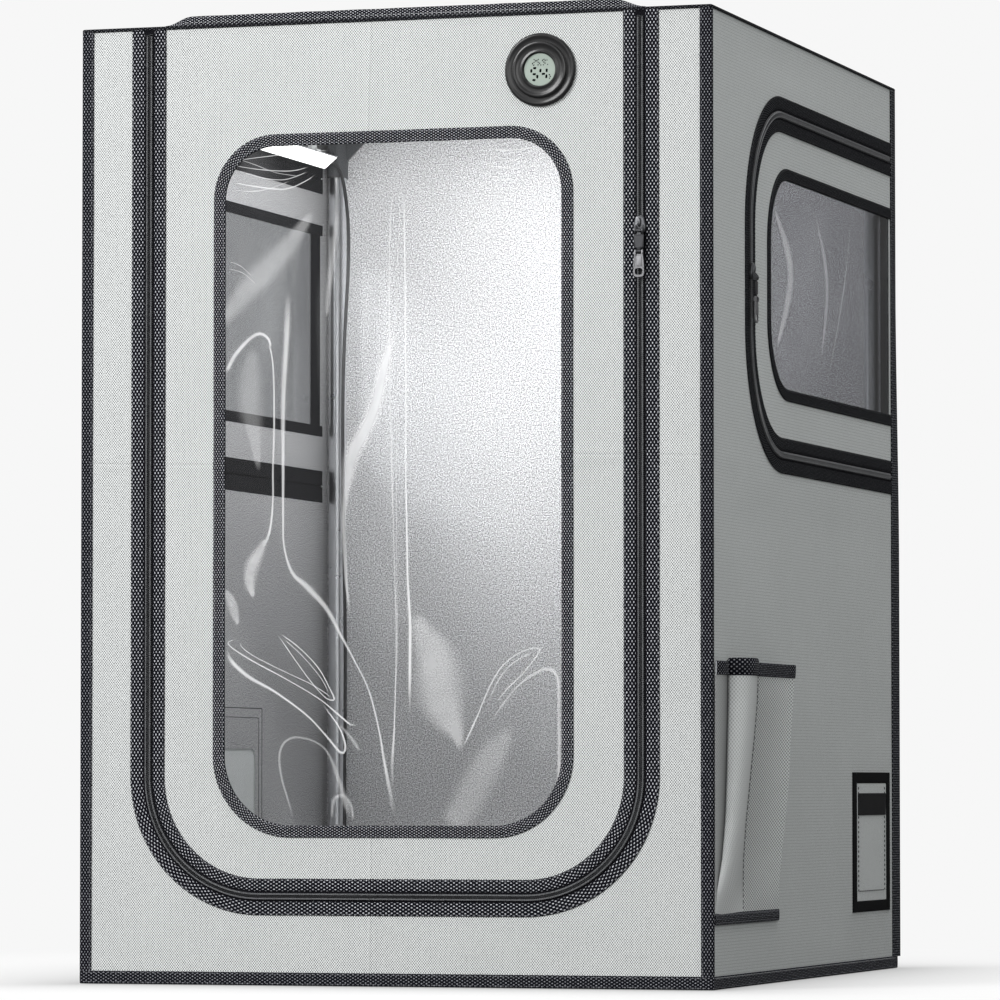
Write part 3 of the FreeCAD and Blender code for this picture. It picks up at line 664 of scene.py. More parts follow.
def side_fade(x, y, port):
    """Keeps a side wall flat at its edges, its door and its cable port."""
    fade = edge_fade(x, y, HALF_D, side=(8, 60), bottom=(10, 60), top=(6, 34))
    fade *= ramp(box_distance(x, y, -212, math.inf, 424, 752), 2, 46)
    port_y, port_z = port
    return fade * ramp(box_distance(x, y, port_y, port_y + PORT_W, port_z, port_z + PORT_H),
                       4, 50)


def right_relief(x, y):
    fade = side_fade(x, y, PORT_RIGHT)
    if x < -95 and y < 285:              # flat under the pocket
        fade *= max(ramp(x, POCKET_REAR, -95), ramp(y, 268, 285))
    return fade * (1.9 * noise3(x / 150, y / 210, 8.1) + 0.5 * noise3(x / 55, y / 80, 3.3)
                   + 0.6 * ridge(y - FOLD_Z, 4.0)) - 0.9 * fade


def left_relief(x, y):
    fade = side_fade(x, y, PORT_LEFT)
    return fade * (2.0 * noise3(x / 140 + 9, y / 200, 2.1)
                   + 0.5 * noise3(x / 50, y / 85, 6.3)) - 0.7 * fade


def rear_relief(x, y):
    fade = edge_fade(x, y, HALF_W, side=(8, 70), bottom=(10, 70), top=(6, 60))
    return fade * (2.6 * noise3(x / 150 - 4, y / 190, 4.4) + 0.7 * noise3(x / 60, y / 75, 1.3)
                   + 0.5 * ridge(y - FOLD_Z, 3.0)
                   + 0.5 * ridge(x - FOLD_X, 3.0)) - 0.6 * fade


def roof_relief(x, y):
    fade = ramp(HALF_W - abs(x), 8, 90) * ramp(HALF_D - abs(y), 8, 90)
    return fade * (1.6 * noise3(x / 140 - 14, y / 170, 7.4)
                   + 0.4 * noise3(x / 60, y / 75, 9.3)) - 3.2 * fade


class Face:
    """Takes panel x, y and a depth inwards to a place in the model.  relief lifts outwards."""

    def __init__(self, place, relief=lambda x, y: 0.0):
        self.place, self.relief = place, relief

    def at(self, x, y, depth):
        return self.place(x, y, depth - self.relief(x, y))

    def with_relief(self, relief):
        return Face(self.place, relief)


FRONT_FLAT = Face(lambda x, y, depth: (x, -HALF_D + depth, y))
REAR_FLAT = Face(lambda x, y, depth: (x, HALF_D - depth, y))
RIGHT_FLAT = Face(lambda x, y, depth: (HALF_W - depth, x, y))
LEFT_FLAT = Face(lambda x, y, depth: (-HALF_W + depth, x, y))
ROOF = Face(lambda x, y, depth: (x, y, HEIGHT - depth), roof_relief)
FLOOR = Face(lambda x, y, depth: (x, y, depth))
FRONT = FRONT_FLAT.with_relief(front_relief)
REAR = REAR_FLAT.with_relief(rear_relief)
RIGHT = RIGHT_FLAT.with_relief(right_relief)
LEFT = LEFT_FLAT.with_relief(left_relief)
# name, face, flat face, port corner
SIDES = (("right", RIGHT, RIGHT_FLAT, PORT_RIGHT), ("left", LEFT, LEFT_FLAT, PORT_LEFT))


# ---------------------------------------------------------------------------
# Sewn work
# ---------------------------------------------------------------------------
def outline_lengths(section):
    """Running length round a closed section, back to its start."""
    lengths = [0.0]
    for (a, b), (c, d) in zip(section, section[1:] + section[:1]):
        lengths.append(lengths[-1] + math.hypot(c - a, d - b))
    return lengths


def strip(part, path, section, face, mat=0, wave=0.0):
    """Sweeps a closed (offset, depth) section along a path."""
    verts = []
    for x, y, nx, ny, along in path.samples:
        shift = wave * noise3(along / 23.0, 0.3, 4.0)
        for offset, depth in section:
            reach = offset + shift
            verts.append(face.at(x + nx * reach, y + ny * reach, depth))
    uvs = grid_uvs(path.table[:, 4], outline_lengths(section))
    if not path.closed:
        uvs += [section, section]
    part.tube(verts, len(section), path.closed, uvs, mat)


def band(low, high, top=-0.12, bottom=0.95):
    """Section of a webbing strip between two offsets, softly crowned."""
    return [(low, bottom), (low - 0.05, 0.42), (low + 0.35, 0.08), (low + 1.6, top + 0.10),
            ((low + high) / 2, top), (high - 1.6, top + 0.10), (high - 0.35, 0.08),
            (high + 0.05, 0.42), (high, bottom)]


def stitches(part, path, offset, depth, face, length=2.3, gap=1.5, width=0.55, height=0.34,
             mat=0):
    start = 1.5
    while start + length < path.length - 1.0:
        verts = []
        for along, wide, tall in ((0.0, 0.3, 0.0), (0.25, 1.0, 0.85), (0.75, 1.0, 0.85),
                                  (1.0, 0.3, 0.0)):
            x, y, nx, ny = path.at(start + along * length)
            for side, rise, sink in ((-0.5, 0.0, 0.06), (-0.22, 1.0, 0.0), (0.22, 1.0, 0.0),
                                     (0.5, 0.0, 0.06)):
                reach = offset + side * width * wide
                verts.append(face.at(x + nx * reach, y + ny * reach,
                                     depth - height * tall * rise + sink))
        part.tube(verts, 4, mat=mat)
        start += length + gap


def bind(part, path, low, high, face, rows, mat=0, bottom=0.95):
    """A webbing band with rows of stitches in the next material."""
    strip(part, path, band(low, high, bottom=bottom), face, mat, wave=0.12)
    for offset in rows:
        stitches(part, path, offset, -0.02, face, mat=mat + 1)


def teeth(part, path, side, face, start, end, pitch=1.55, mat=1):
    """One half of a zip coil: rounded bars across the chain, half a pitch from the other
    half's.  side is 1 outside the path and -1 inside it."""
    along = start + (pitch / 2 if side > 0 else 0)
    while along < end:
        x, y, nx, ny = path.at(along)
        verts = []
        for offset, half, tall in ((-0.55, 0.26, 0.80), (0.35, 0.34, 1.0), (2.15, 0.50, 1.0),
                                   (2.85, 0.36, 0.35)):
            mid_x, mid_y = x + nx * side * offset, y + ny * side * offset
            base = 0.5 - face.relief(mid_x, mid_y)
            for t, rise in ((-1.0, 0.0), (-0.72, 0.7), (0.0, 1.0), (0.72, 0.7), (1.0, 0.0)):
                verts.append(face.place(mid_x - ny * t * half, mid_y + nx * t * half,
                                        base - 1.55 * rise * tall))
        part.tube(verts, 5, mat=mat)
        along += pitch


def inside(points, loop):
    x, y = points[:, 0], points[:, 1]
    result = np.zeros(len(points), bool)
    corners = np.array(loop)
    for (x0, y0), (x1, y1) in zip(corners, np.roll(corners, -1, 0)):
        if y0 == y1:
            continue
        result ^= ((y0 > y) != (y1 > y)) & (x < (x1 - x0) * (y - y0) / (y1 - y0) + x0)
    return result


def edge_distance(points, loop):
    corners = np.array(loop)
    best = np.full(len(points), 1e9)
    for start, end in zip(corners, np.roll(corners, -1, 0)):
        edge = end - start
        square = float(edge @ edge)
        if square < 1e-9:
            continue
        t = np.clip(((points - start) @ edge) / square, 0, 1)
        off = points - (start + t[:, None] * edge)
        best = np.minimum(best, np.hypot(off[:, 0], off[:, 1]))
    return best


def dense(loop, step):
    points = []
    for (x, y), (x2, y2) in zip(loop, loop[1:] + loop[:1]):
        length = math.hypot(x2 - x, y2 - y)
        if length < 1e-6:
            continue
        count = max(1, round(length / step))
        points += [(x + (x2 - x) * j / count, y + (y2 - y) * j / count) for j in range(count)]
    return points


def sheet(part, loops, face, step, depths=(1.0, 2.2), mats=(0, 1, 0), inner=None):
    """A cloth with an outer face, an inner face and a rim, cut to loops: its outline, then
    its openings.  depths and mats are outer then inner, mats then has the rim's; inner is
    the face that the inside follows."""
    inner = inner or face
    loops = [dense(loop, step) for loop in loops]
    xs, ys = zip(*loops[0])
    columns = np.arange(min(xs) + step / 2, max(xs), step)
    rows = np.arange(min(ys) + step / 2, max(ys), step * 0.92)
    grid = np.array([(x + (step / 2 if j % 2 else 0), y) for j, y in enumerate(rows)
                     for x in columns])
    keep = inside(grid, loops[0])
    for hole in loops[1:]:
        keep &= ~inside(grid, hole)
    for loop in loops:
        keep &= edge_distance(grid, loop) > step * 0.45
    points, edges = [], []
    for loop in loops:
        first, n = len(points), len(loop)
        points += loop
        edges += [(first + i, first + (i + 1) % n) for i in range(n)]
    points += [tuple(p) for p in grid[keep]]
    cut = delaunay_2d_cdt([Vector(p) for p in points], edges, [], 0, 1e-5)
    flat, triangles = cut[0], cut[2]
    centres = np.array([[sum(flat[i].x for i in tri) / 3, sum(flat[i].y for i in tri) / 3]
                        for tri in triangles])
    kept = inside(centres, loops[0])
    for hole in loops[1:]:
        kept &= ~inside(centres, hole)
    triangles = [tri for tri, ok in zip(triangles, kept) if ok]
    n = len(flat)
    verts = [face.at(p.x, p.y, depths[0]) for p in flat]
    verts += [inner.at(p.x, p.y, depths[1]) for p in flat]
    faces, uvs, slots, uses = [], [], [], {}
    for tri in triangles:
        for a, b in zip(tri, tri[1:] + tri[:1]):
            key = (min(a, b), max(a, b))
            uses[key] = uses.get(key, 0) + 1
        faces += [tuple(tri), tuple(i + n for i in tri)]
        uvs += [[(flat[i].x, flat[i].y) for i in tri]] * 2
        slots += mats[:2]
    for (a, b), count in uses.items():
        if count == 1:
            faces.append((a, b, b + n, a + n))
            at_a, at_b = flat[a].x + flat[a].y, flat[b].x + flat[b].y
            uvs.append([(at_a, 0), (at_b, 0), (at_b, 1.2), (at_a, 1.2)])
            slots.append(mats[2])
    used = sorted({i for f in faces for i in f})
    renumber = {old: i for i, old in enumerate(used)}
    part.add([verts[i] for i in used], [tuple(renumber[i] for i in f) for f in faces], uvs,
             slots)


# ---------------------------------------------------------------------------
# Outline paths: zip centrelines and window binding centrelines
# ---------------------------------------------------------------------------
FRONT_ZIP = rounded([(-ZIP_X, WALL_TOP, 0), (-ZIP_X, ZIP_BOTTOM, ZIP_R),
                     (ZIP_X, ZIP_BOTTOM, ZIP_R), (ZIP_X, WALL_TOP, 0)])
SIDE_ZIP = side_loop(SIDE_REAR, SIDE_Y, SIDE_BOTTOM, SIDE_TOP, SIDE_R)
SIDE_DOOR_EDGE = side_loop(SIDE_REAR - 2.6, SIDE_Y, SIDE_BOTTOM, SIDE_TOP, SIDE_R)
FRONT_WINDOW = rounded_box(-WIN_X + BAND_HALF, WIN_BOTTOM + BAND_HALF, WIN_X - BAND_HALF,
                           WIN_TOP - BAND_HALF, WIN_R_LOW - BAND_HALF, WIN_R_TOP - BAND_HALF)
SIDE_WINDOW = side_loop(SIDE_REAR - 0.5, SIDE_WIN_Y + BAND_HALF, SIDE_WIN_BOTTOM + BAND_HALF,
                        SIDE_WIN_TOP - BAND_HALF, SIDE_WIN_R - BAND_HALF)


def side_window_hole():
    """The side window's outline, cut off at its rear edge."""
    loop = SIDE_WINDOW.loop(0.0)
    for end in (0, -1):
        loop[end] = (SIDE_WIN_REAR, loop[end][1])
    return [p for p in loop if p[0] <= SIDE_WIN_REAR + 1e-6]


SIDE_HOLE = side_window_hole()
# inner tape sections, (offset, depth)
WALL_TAPE = [(0.6, 2.15), (0.6, 2.6), (14.8, 2.7), (15.2, 2.15)]
DOOR_TAPE = [(-14.4, 2.15), (-14.2, 2.7), (-0.8, 2.6), (-0.8, 2.15)]
WINDOW_TAPE = [(-5.0, 2.15), (-4.8, 2.75), (4.8, 2.75), (5.0, 2.15)]
HINGE_TAPE = [(-4.0, 1.85), (-4.0, 2.3), (21.8, 2.3), (21.8, 1.85)]

# ---------------------------------------------------------------------------
# Cover panels
# ---------------------------------------------------------------------------
# front wall, a U round the door
part = Part()
sheet(part, [[(-PANEL_X, WALL_BOTTOM), (PANEL_X, WALL_BOTTOM), (PANEL_X, WALL_TOP)]
             + FRONT_ZIP.loop(ZIP_GAP)[::-1] + [(-PANEL_X, WALL_TOP)]], FRONT, step=7.0)
strip(part, FRONT_ZIP, WALL_TAPE, FRONT, 2)
part.build("cover_front_wall", [CLOTH, LINING, INNER_WEB], "enclosure",
           "front_wall_panel")


def side_wall(side, face, port_y, port_z):
    part = Part()
    reach = PANEL_Y - 1.2
    hole = rounded_box(port_y + 22, port_z + 19, port_y + PORT_W - 22, port_z + 83, 8, arc=2.0)
    sheet(part, [rect(-reach, WALL_BOTTOM, reach, WALL_TOP), SIDE_ZIP.loop(ZIP_GAP),
                 hole.loop(0)], face, step=8.0)
    strip(part, SIDE_ZIP, WALL_TAPE, face, 2)
    # thin seams round the port on the lining side
    for inset, half in ((4.0, 0.35), (12.5, 0.25)):
        seam = rounded_box(port_y + inset, port_z + inset, port_y + PORT_W - inset,
                           port_z + PORT_H - inset, 2, arc=2.0)
        strip(part, seam, [(-half, 2.15), (-half, 2.45), (half, 2.45), (half, 2.15)], face, 2)
    part.build(f"cover_{side}_wall", [SIDE_CLOTH, SHADED_SIDE_LINING, INNER_WEB], "enclosure",
               f"{side}_wall_panel")


for side, face, _, port in SIDES:
    side_wall(side, face, *port)

FULL_PLAN = rect(-PANEL_X, -PANEL_Y, PANEL_X, PANEL_Y)
for name, outline, face, step, depths, replaced in (
        ("cover_rear_wall", rect(-PANEL_X, WALL_BOTTOM, PANEL_X, WALL_TOP), REAR, 9.0,
         (1.0, 2.2), "rear_wall_panel"),
        ("cover_roof", FULL_PLAN, ROOF, 9.0, (1.0, 2.2), "roof_panel"),
        ("cover_floor", FULL_PLAN, FLOOR, 12.0, (0.0, 1.2), "floor_sheet")):
    part = Part()
    sheet(part, [outline], face, step, depths)
    part.build(name, [CLOTH, LINING], "enclosure", replaced)


# ---------------------------------------------------------------------------
# Doors
# ---------------------------------------------------------------------------
def door(side, face, zip_path, edge_path, window, holes, step, cloth, lining, window_web,
         edge_web, thread, hinge=None):
    """Door cloth with its inner tapes, then the window and edge bindings."""
    body = f"{side}_door"
    part = Part()
    sheet(part, [zip_path.loop(-ZIP_GAP)] + holes, face, step)
    strip(part, zip_path, DOOR_TAPE, face, 2)
    strip(part, window, WINDOW_TAPE, face, 2)
    if hinge:
        strip(part, hinge, HINGE_TAPE, face, 2)
    part.build(f"door_{side}_cloth", [cloth, lining, INNER_WEB], body,
               f"{side}_door_panel")
    part = Part()
    bind(part, window, -BAND_HALF, BAND_HALF, face, rows=(-3.7, 3.7))
    part.build(f"door_{side}_window_binding", [window_web, thread], body,
               f"{side}_window_webbing")
    part = Part()
    bind(part, edge_path, -14.6, -4.5, face, rows=(-13.4,), bottom=0.5)
    part.build(f"door_{side}_edge_binding", [edge_web, thread], body,
               f"{side}_door_edge_webbing")


gauge_hole = [(GAUGE_X + GAUGE_HOLE_R * math.cos(t * math.pi / 24),
               GAUGE_Z + GAUGE_HOLE_R * math.sin(t * math.pi / 24)) for t in range(48)]
door("front", FRONT, FRONT_ZIP, FRONT_ZIP, FRONT_WINDOW, [FRONT_WINDOW.loop(0.0), gauge_hole],
     6.5, CLOTH, LINING, WEB, DOOR_WEB, THREAD)
# wide tape behind the rear edge of each side window
HINGE = upright(264.0, SIDE_WIN_BOTTOM + 6, SIDE_WIN_TOP - 6, 40, origin=SIDE_WIN_BOTTOM)
for side, face, *_ in SIDES:
    door(side, face, SIDE_ZIP, SIDE_DOOR_EDGE, SIDE_WINDOW, [SIDE_HOLE], 7.0, SIDE_CLOTH,
         SHADED_SIDE_LINING, SHADED_SIDE_WEB, SHADED_SIDE_WEB, DARK_THREAD, HINGE)

# webbing on the wall side of the three door openings
part = Part()
for path, face, mat in ((FRONT_ZIP, FRONT, 0), (SIDE_ZIP, RIGHT, 2), (SIDE_ZIP, LEFT, 2)):
    bind(part, path, 4.5, 15.6, face, rows=(14.4,), mat=mat, bottom=0.5)
part.build("opening_binding", [DOOR_WEB, THREAD, SHADED_SIDE_WEB, DARK_THREAD], "enclosure",
           "door_opening_webbing")

# zips: tape, coil and two cords; margin is how far the coil stops short of each end
WALL_ZIP_TAPE = [(0.03, 0.95), (0.03, 0.5), (14.9, 0.5), (14.9, 0.95)]
DOOR_ZIP_TAPE = [(-14.2, 0.95), (-14.2, 0.5), (-0.03, 0.5), (-0.03, 0.95)]
for side, path, face, margin in (("front", FRONT_ZIP, FRONT, 4.5),
                                 ("right", SIDE_ZIP, RIGHT, 6.5),
                                 ("left", SIDE_ZIP, LEFT, 6.5)):
    start, end = margin, path.length - margin
    for half, sign, body, tape in (("wall", 1, "enclosure", WALL_ZIP_TAPE),
                                   ("door", -1, f"{side}_door", DOOR_ZIP_TAPE)):
        part = Part()
        strip(part, path, tape, face)
        teeth(part, path, sign, face, start, end)
        coil = Path([p for p in path.samples if start <= p[4] <= end])
        for offset in (1.55, 2.15):
            middle = sign * offset
            strip(part, coil, [(middle - 0.2, -0.85), (middle - 0.1, -1.12),
                               (middle + 0.1, -1.12), (middle + 0.2, -0.85)], face, 2)
        part.build(f"zip_{side}_{half}_half", [ZIP_TAPE, ZIP_COIL, ZIP_CORD], body,
                   f"{side}_zip_{half}_half", smooth=50)


# ---------------------------------------------------------------------------
# Window films: clear sheets that ripple between their sewn edges
# ---------------------------------------------------------------------------
def front_film_relief(x, y):
    edge = min(WIN_X - 10 - abs(x), y - (WIN_BOTTOM + 10), WIN_TOP - 10 - y)
    warp = noise3(x / 120, y / 260, 2.2) * 60
    ripple = ramp(edge, 0, 40) * (1.5 * noise3((x + warp) / 95, y / 300, 11.0)
                                  + 0.35 * noise3((x - warp) / 45, y / 150, 6.0))
    return front_relief(x, y) * 0.3 + ripple


def side_film_relief(x, y):
    edge = min(x - (SIDE_WIN_Y + 10.5), SIDE_WIN_REAR - x, y - (SIDE_WIN_BOTTOM + 10),
               SIDE_WIN_TOP - 10 - y)
    warp = noise3(x / 140, y / 120, 7.7) * 40
    return ramp(edge, 0, 34) * (1.3 * noise3(x / 150, (y + warp) / 80, 3.0)
                                + 0.3 * noise3((x + warp) / 60, y / 70, 9.0))


# Painted reflections on the clear sheet, white streaks along its soft folds and flow lines and
# broad soft patches: strength, then (x, y, width) along each
FRONT_PAINTED_REFLECTIONS = [
    (0.60, [(-114, 525, 0.7), (-108, 530, 1.7), (-104, 510, 2.1), (-103, 464, 2.2),
            (-104, 426, 2.2), (-104, 403, 2.2), (-106, 380, 2.9), (-110, 367, 3.4),
            (-116, 359, 1.7)]),
    (0.48, [(-108, 372, 2.6), (-117, 357, 12.0), (-123, 344, 15.5), (-124, 332, 11.5),
            (-120, 318, 1.4)]),
    (0.42, [(-146, 327, 6.0), (-140, 317, 11.0), (-137, 306, 9.5), (-134, 297, 1.4)]),
    (0.55, [(-91, 582, 6.0), (-92, 543, 6.9), (-95, 484, 5.2), (-95, 426, 3.4), (-95, 385, 2.6),
            (-94, 362, 2.6), (-87, 341, 4.3), (-74, 329, 6.9), (-57, 311, 5.2), (-45, 290, 3.4),
            (-33, 269, 2.1), (-20, 244, 1.9), (-11, 212, 2.1), (-6, 185, 3.1), (1, 150, 5.2),
            (4, 134, 5.2)]),
    (0.46, [(2, 546, 5.0), (-8, 505, 15.5), (-18, 469, 16.3), (-33, 440, 18.1),
            (-38, 419, 13.8), (-40, 407, 8.6), (-42, 384, 5.2), (-41, 357, 4.3),
            (-39, 327, 3.4), (-35, 298, 1.3)]),
    (0.55, [(2, 673, 0.9), (0, 644, 1.2), (-2, 609, 1.2), (-2, 516, 1.2), (0, 425, 1.4),
            (2, 356, 1.0), (4, 287, 1.2), (3, 219, 1.7), (1, 183, 3.4), (2, 153, 1.7)]),
    (0.45, [(5, 663, 0.7), (7, 635, 1.2), (5, 598, 0.9), (4, 482, 0.9), (4, 383, 0.9),
            (5, 285, 0.9), (4, 235, 0.7)]),
    (0.68, [(6, 671, 0.9), (10, 644, 1.7), (11, 615, 1.9), (12, 515, 1.7), (12, 425, 1.9),
            (13, 379, 2.2), (14, 333, 2.9), (16, 297, 3.8), (16, 235, 3.4), (17, 215, 1.7)]),
    (0.44, [(19, 309, 8.0), (27, 291, 24.0), (37, 272, 42.0), (41, 254, 50.0), (43, 237, 48.0),
            (49, 221, 36.0), (57, 206, 15.0), (60, 190, 2.0)]),
    (0.75, [(60, 192, 2.1), (73, 219, 1.7), (85, 246, 1.1), (97, 264, 1.1), (114, 275, 1.0),
            (127, 277, 1.5), (126, 272, 1.0), (114, 257, 1.0), (100, 244, 1.0),
            (88, 230, 1.2)]),
    (0.60, [(84, 232, 0.8), (89, 245, 0.9), (99, 260, 0.9), (113, 270, 0.9), (122, 273, 0.7)]),
    (0.50, [(85, 215, 1.0), (95, 230, 1.7), (109, 246, 2.1), (123, 256, 3.4), (135, 260, 4.7),
            (143, 253, 4.7), (144, 230, 3.8), (144, 174, 4.3), (141, 143, 2.6)]),
    (0.70, [(-101, 293, 1.4), (-81, 279, 1.2), (-64, 262, 1.2), (-54, 245, 1.2),
            (-50, 236, 1.9), (-57, 237, 1.2), (-69, 249, 1.0), (-83, 267, 1.0),
            (-96, 285, 1.0), (-101, 292, 0.9)]),
    (0.55, [(-95, 287, 0.9), (-78, 272, 0.9), (-62, 254, 0.9), (-54, 240, 0.9)]),
    (0.75, [(-130, 286, 0.9), (-141, 285, 1.0), (-142, 281, 1.4), (-125, 270, 1.5),
            (-94, 254, 1.2), (-64, 237, 1.2), (-47, 224, 1.9), (-35, 215, 1.9),
            (-28, 216, 0.9)]),
    (0.60, [(-128, 285, 0.7), (-132, 281, 1.0), (-120, 272, 1.0), (-91, 258, 1.0),
            (-71, 249, 1.0), (-56, 240, 1.0), (-53, 236, 0.9)]),
    (0.70, [(-144, 281, 1.7), (-141, 269, 4.7), (-125, 255, 4.3), (-101, 242, 2.6),
            (-74, 223, 2.1), (-57, 206, 2.1), (-44, 192, 2.6), (-40, 197, 2.6),
            (-45, 212, 1.7), (-57, 228, 1.4), (-63, 236, 0.9)]),
    (0.30, [(-46, 216, 0.9), (-35, 204, 5.2), (-27, 193, 2.6)]),
    (0.34, [(-85, 137, 2.6), (-96, 173, 3.1), (-97, 194, 3.4), (-88, 204, 3.4), (-72, 203, 2.6),
            (-57, 194, 2.6), (-47, 173, 5.2), (-40, 151, 6.9), (-34, 135, 3.4)]),
    (0.32, [(-52, 137, 2.6), (-50, 153, 4.3), (-42, 157, 4.3), (-35, 148, 4.3),
            (-33, 135, 2.6)]),
    (0.60, [(-146, 507, 4.3), (-138, 522, 5.2), (-126, 535, 4.7), (-116, 540, 4.3),
            (-108, 535, 3.4), (-106, 525, 2.1)]),
    (0.34, [(-150, 546, 8.0), (-134, 569, 22.0), (-114, 590, 28.0), (-92, 611, 22.0),
            (-68, 642, 5.0)]),
    (0.28, [(-121, 531, 5.0), (-124, 508, 22.0), (-124, 482, 27.0), (-120, 452, 15.0),
            (-116, 424, 2.5)]),
    (0.33, [(-57, 550, 2.6), (-55, 575, 6.9), (-50, 615, 7.7), (-47, 643, 2.6)]),
    (0.55, [(-140, 685, 0.7), (-107, 688, 1.0), (-80, 690, 1.0), (-54, 691, 0.7)]),
    (0.60, [(-139, 681, 0.7), (-116, 677, 1.0), (-89, 675, 1.1), (-72, 678, 0.7)]),
    (0.60, [(-141, 667, 0.7), (-120, 663, 1.7), (-94, 660, 1.7), (-76, 666, 1.2),
            (-66, 672, 0.7)]),
    (0.50, [(-142, 661, 0.7), (-124, 659, 1.4), (-107, 661, 1.4), (-89, 667, 0.7)]),
    (0.60, [(-133, 676, 0.7), (-114, 670, 1.0), (-94, 668, 1.0), (-73, 674, 0.7)]),
    (0.50, [(-137, 687, 0.7), (-120, 681, 1.0), (-102, 674, 1.0), (-80, 670, 0.7)]),
    (0.60, [(77, 690, 0.7), (98, 686, 1.4), (120, 687, 1.4), (133, 684, 0.7)]),
    (0.60, [(75, 679, 0.7), (94, 672, 1.0), (116, 672, 1.0), (135, 678, 0.7)]),
    (0.50, [(87, 682, 0.7), (103, 677, 1.0), (120, 677, 0.7)]),
    (0.40, [(77, 670, 0.7), (91, 663, 2.6), (111, 661, 0.9)]),
    (0.50, [(-144, 601, 0.7), (-133, 597, 0.9), (-123, 588, 0.7)]),
    (0.45, [(-144, 595, 0.7), (-131, 591, 0.9), (-119, 581, 0.7)]),
    (0.27, [(104, 214, 8.0), (84, 184, 34.0), (64, 150, 34.0), (50, 128, 24.0)]),
]
SIDE_PAINTED_REFLECTIONS = [
    (0.30, [(-118, 655, 3), (-60, 600, 26), (-108, 530, 5)]),
    (0.25, [(20, 662, 2), (60, 600, 16), (40, 530, 4)]),
    (0.30, [(150, 668, 1), (120, 600, 3), (60, 512, 1)]),
]
WIDE_REFLECTION = 9                                       # widths above this are broad painted reflections
FILM_DEPTHS = (1.05, 1.55)


def extend_ends(points):
    return np.vstack([2 * points[0] - points[1], points, 2 * points[-1] - points[-2]])


def spline(before, start, end, after, t):
    """Catmull-Rom curve from start to end."""
    return 0.5 * ((2 * start) + (end - before) * t
                  + (2 * before - 5 * start + 4 * end - after) * t ** 2
                  + (3 * start - before - 3 * end + after) * t ** 3)


def line_normals(points):
    slope = np.gradient(points, axis=0)
    normals = np.stack([-slope[:, 1], slope[:, 0]], 1)
    return normals / np.maximum(np.hypot(normals[:, 0], normals[:, 1]), 1e-6)[:, None]


def painted_reflection_ribbon(part, points, face, mat):
    """A thin ribbon just outside the film that carries a painted reflection; only its outer side
    shows.
    """
    points = np.array(points, float)
    padded = extend_ends(points)
    line = []
    for i in range(len(points) - 1):
        span = padded[i:i + 4]
        count = max(3, int(np.hypot(*(span[2] - span[1])[:2]) / 3.0))
        line += [spline(*span, j / count) for j in range(count)]
    line = np.array(line + [points[-1]])
    normals = line_normals(line[:, :2])
    wide = line[:, 2].max() >= WIDE_REFLECTION
    cells, lifts = (14, (0.20, 0.12)) if wide else (4, (0.13, 0.05))
    size, count = cells + 1, len(line)
    columns = [k / cells - 0.5 for k in range(size)]
    verts, faces, uvs, mats = [], [], [], []
    for lift in lifts:
        for (x, y, width), (nx, ny) in zip(line, normals):
            width = max(width, 0.7) * 1.25
            for c in columns:
                crown = 0.04 * (1 - abs(2 * c)) * (1 if lift > 0.1 else 0)
                verts.append(face.at(x + nx * width * c, y + ny * width * c,
                                     FILM_DEPTHS[0] - lift - crown))
    back = count * size

    def quad(corners, uv=((0, 0),) * 4, slot=0):
        faces.append(corners)
        uvs.append(uv)
        mats.append(slot)

    for i in range(count - 1):
        x0, x1 = i / (count - 1), (i + 1) / (count - 1)
        for j in range(cells):
            a, b = i * size + j, (i + 1) * size + j
            y0, y1 = columns[j] + 0.5, columns[j + 1] + 0.5
            uv = [(x0, y0), (x1, y0), (x1, y1), (x0, y1)]
            quad((a, b, b + 1, a + 1), uv, mat)
            quad((a + back, b + back, b + 1 + back, a + 1 + back), uv)
        for a in (i * size, i * size + cells):
            quad((a, a + size, a + size + back, a + back))
    for i in (0, count - 1):
        for j in range(cells):
            a = i * size + j
            quad((a, a + 1, a + 1 + back, a + back))
    part.add(verts, faces, uvs, mats)


# strength of the painted reflections: narrow streaks, and broad soft patches
REFLECTION_LEVELS = [0.16, 0.26, 0.38, 0.50, 0.62]
BROAD_REFLECTION_LEVELS = [0.15, 0.21, 0.28, 0.36]
# The fold and haze materials are painted reflections of different strengths.
REFLECTION_MATERIALS = [painted_reflection_material("painted reflection clear", amount=0.0, soft=0.5)]
REFLECTION_MATERIALS += [painted_reflection_material(f"fold {k + 1}", amount=a, soft=0.85 if a > 0.4 else 1.0)
                   for k, a in enumerate(REFLECTION_LEVELS)]
REFLECTION_MATERIALS += [painted_reflection_material(f"haze {k + 1}", amount=a, soft=0.80)
                   for k, a in enumerate(BROAD_REFLECTION_LEVELS)]


def nearest(levels, value):
    return min(range(len(levels)), key=lambda i: abs(levels[i] - value))


def window_film(side, loop, face, step, folds):
    part = Part()
    sheet(part, [loop], face, step, FILM_DEPTHS, mats=(0, 0, 0))
    part.build(f"window_{side}_film", [FILM], f"{side}_door",
               f"{side}_window_film", smooth=0)
    # painted reflections: white ribbons laid on the film, built as the window folds object
    part = Part()
    for strength, points in folds:
        strength -= 0.07
        if max(p[2] for p in points) > WIDE_REFLECTION:
            mat = 1 + len(REFLECTION_LEVELS) + nearest(BROAD_REFLECTION_LEVELS, strength * 0.85)
        else:
            mat = 1 + nearest(REFLECTION_LEVELS, strength)
        painted_reflection_ribbon(part, points, face, mat)
    part.build(f"window_{side}_folds", REFLECTION_MATERIALS, f"{side}_door", smooth=0)


window_film("front", FRONT_WINDOW.loop(0.0), FRONT.with_relief(front_film_relief), 5.0,
            FRONT_PAINTED_REFLECTIONS)
for side, face, *_ in SIDES:
    window_film(side, SIDE_HOLE, face.with_relief(side_film_relief), 4.5, SIDE_PAINTED_REFLECTIONS)


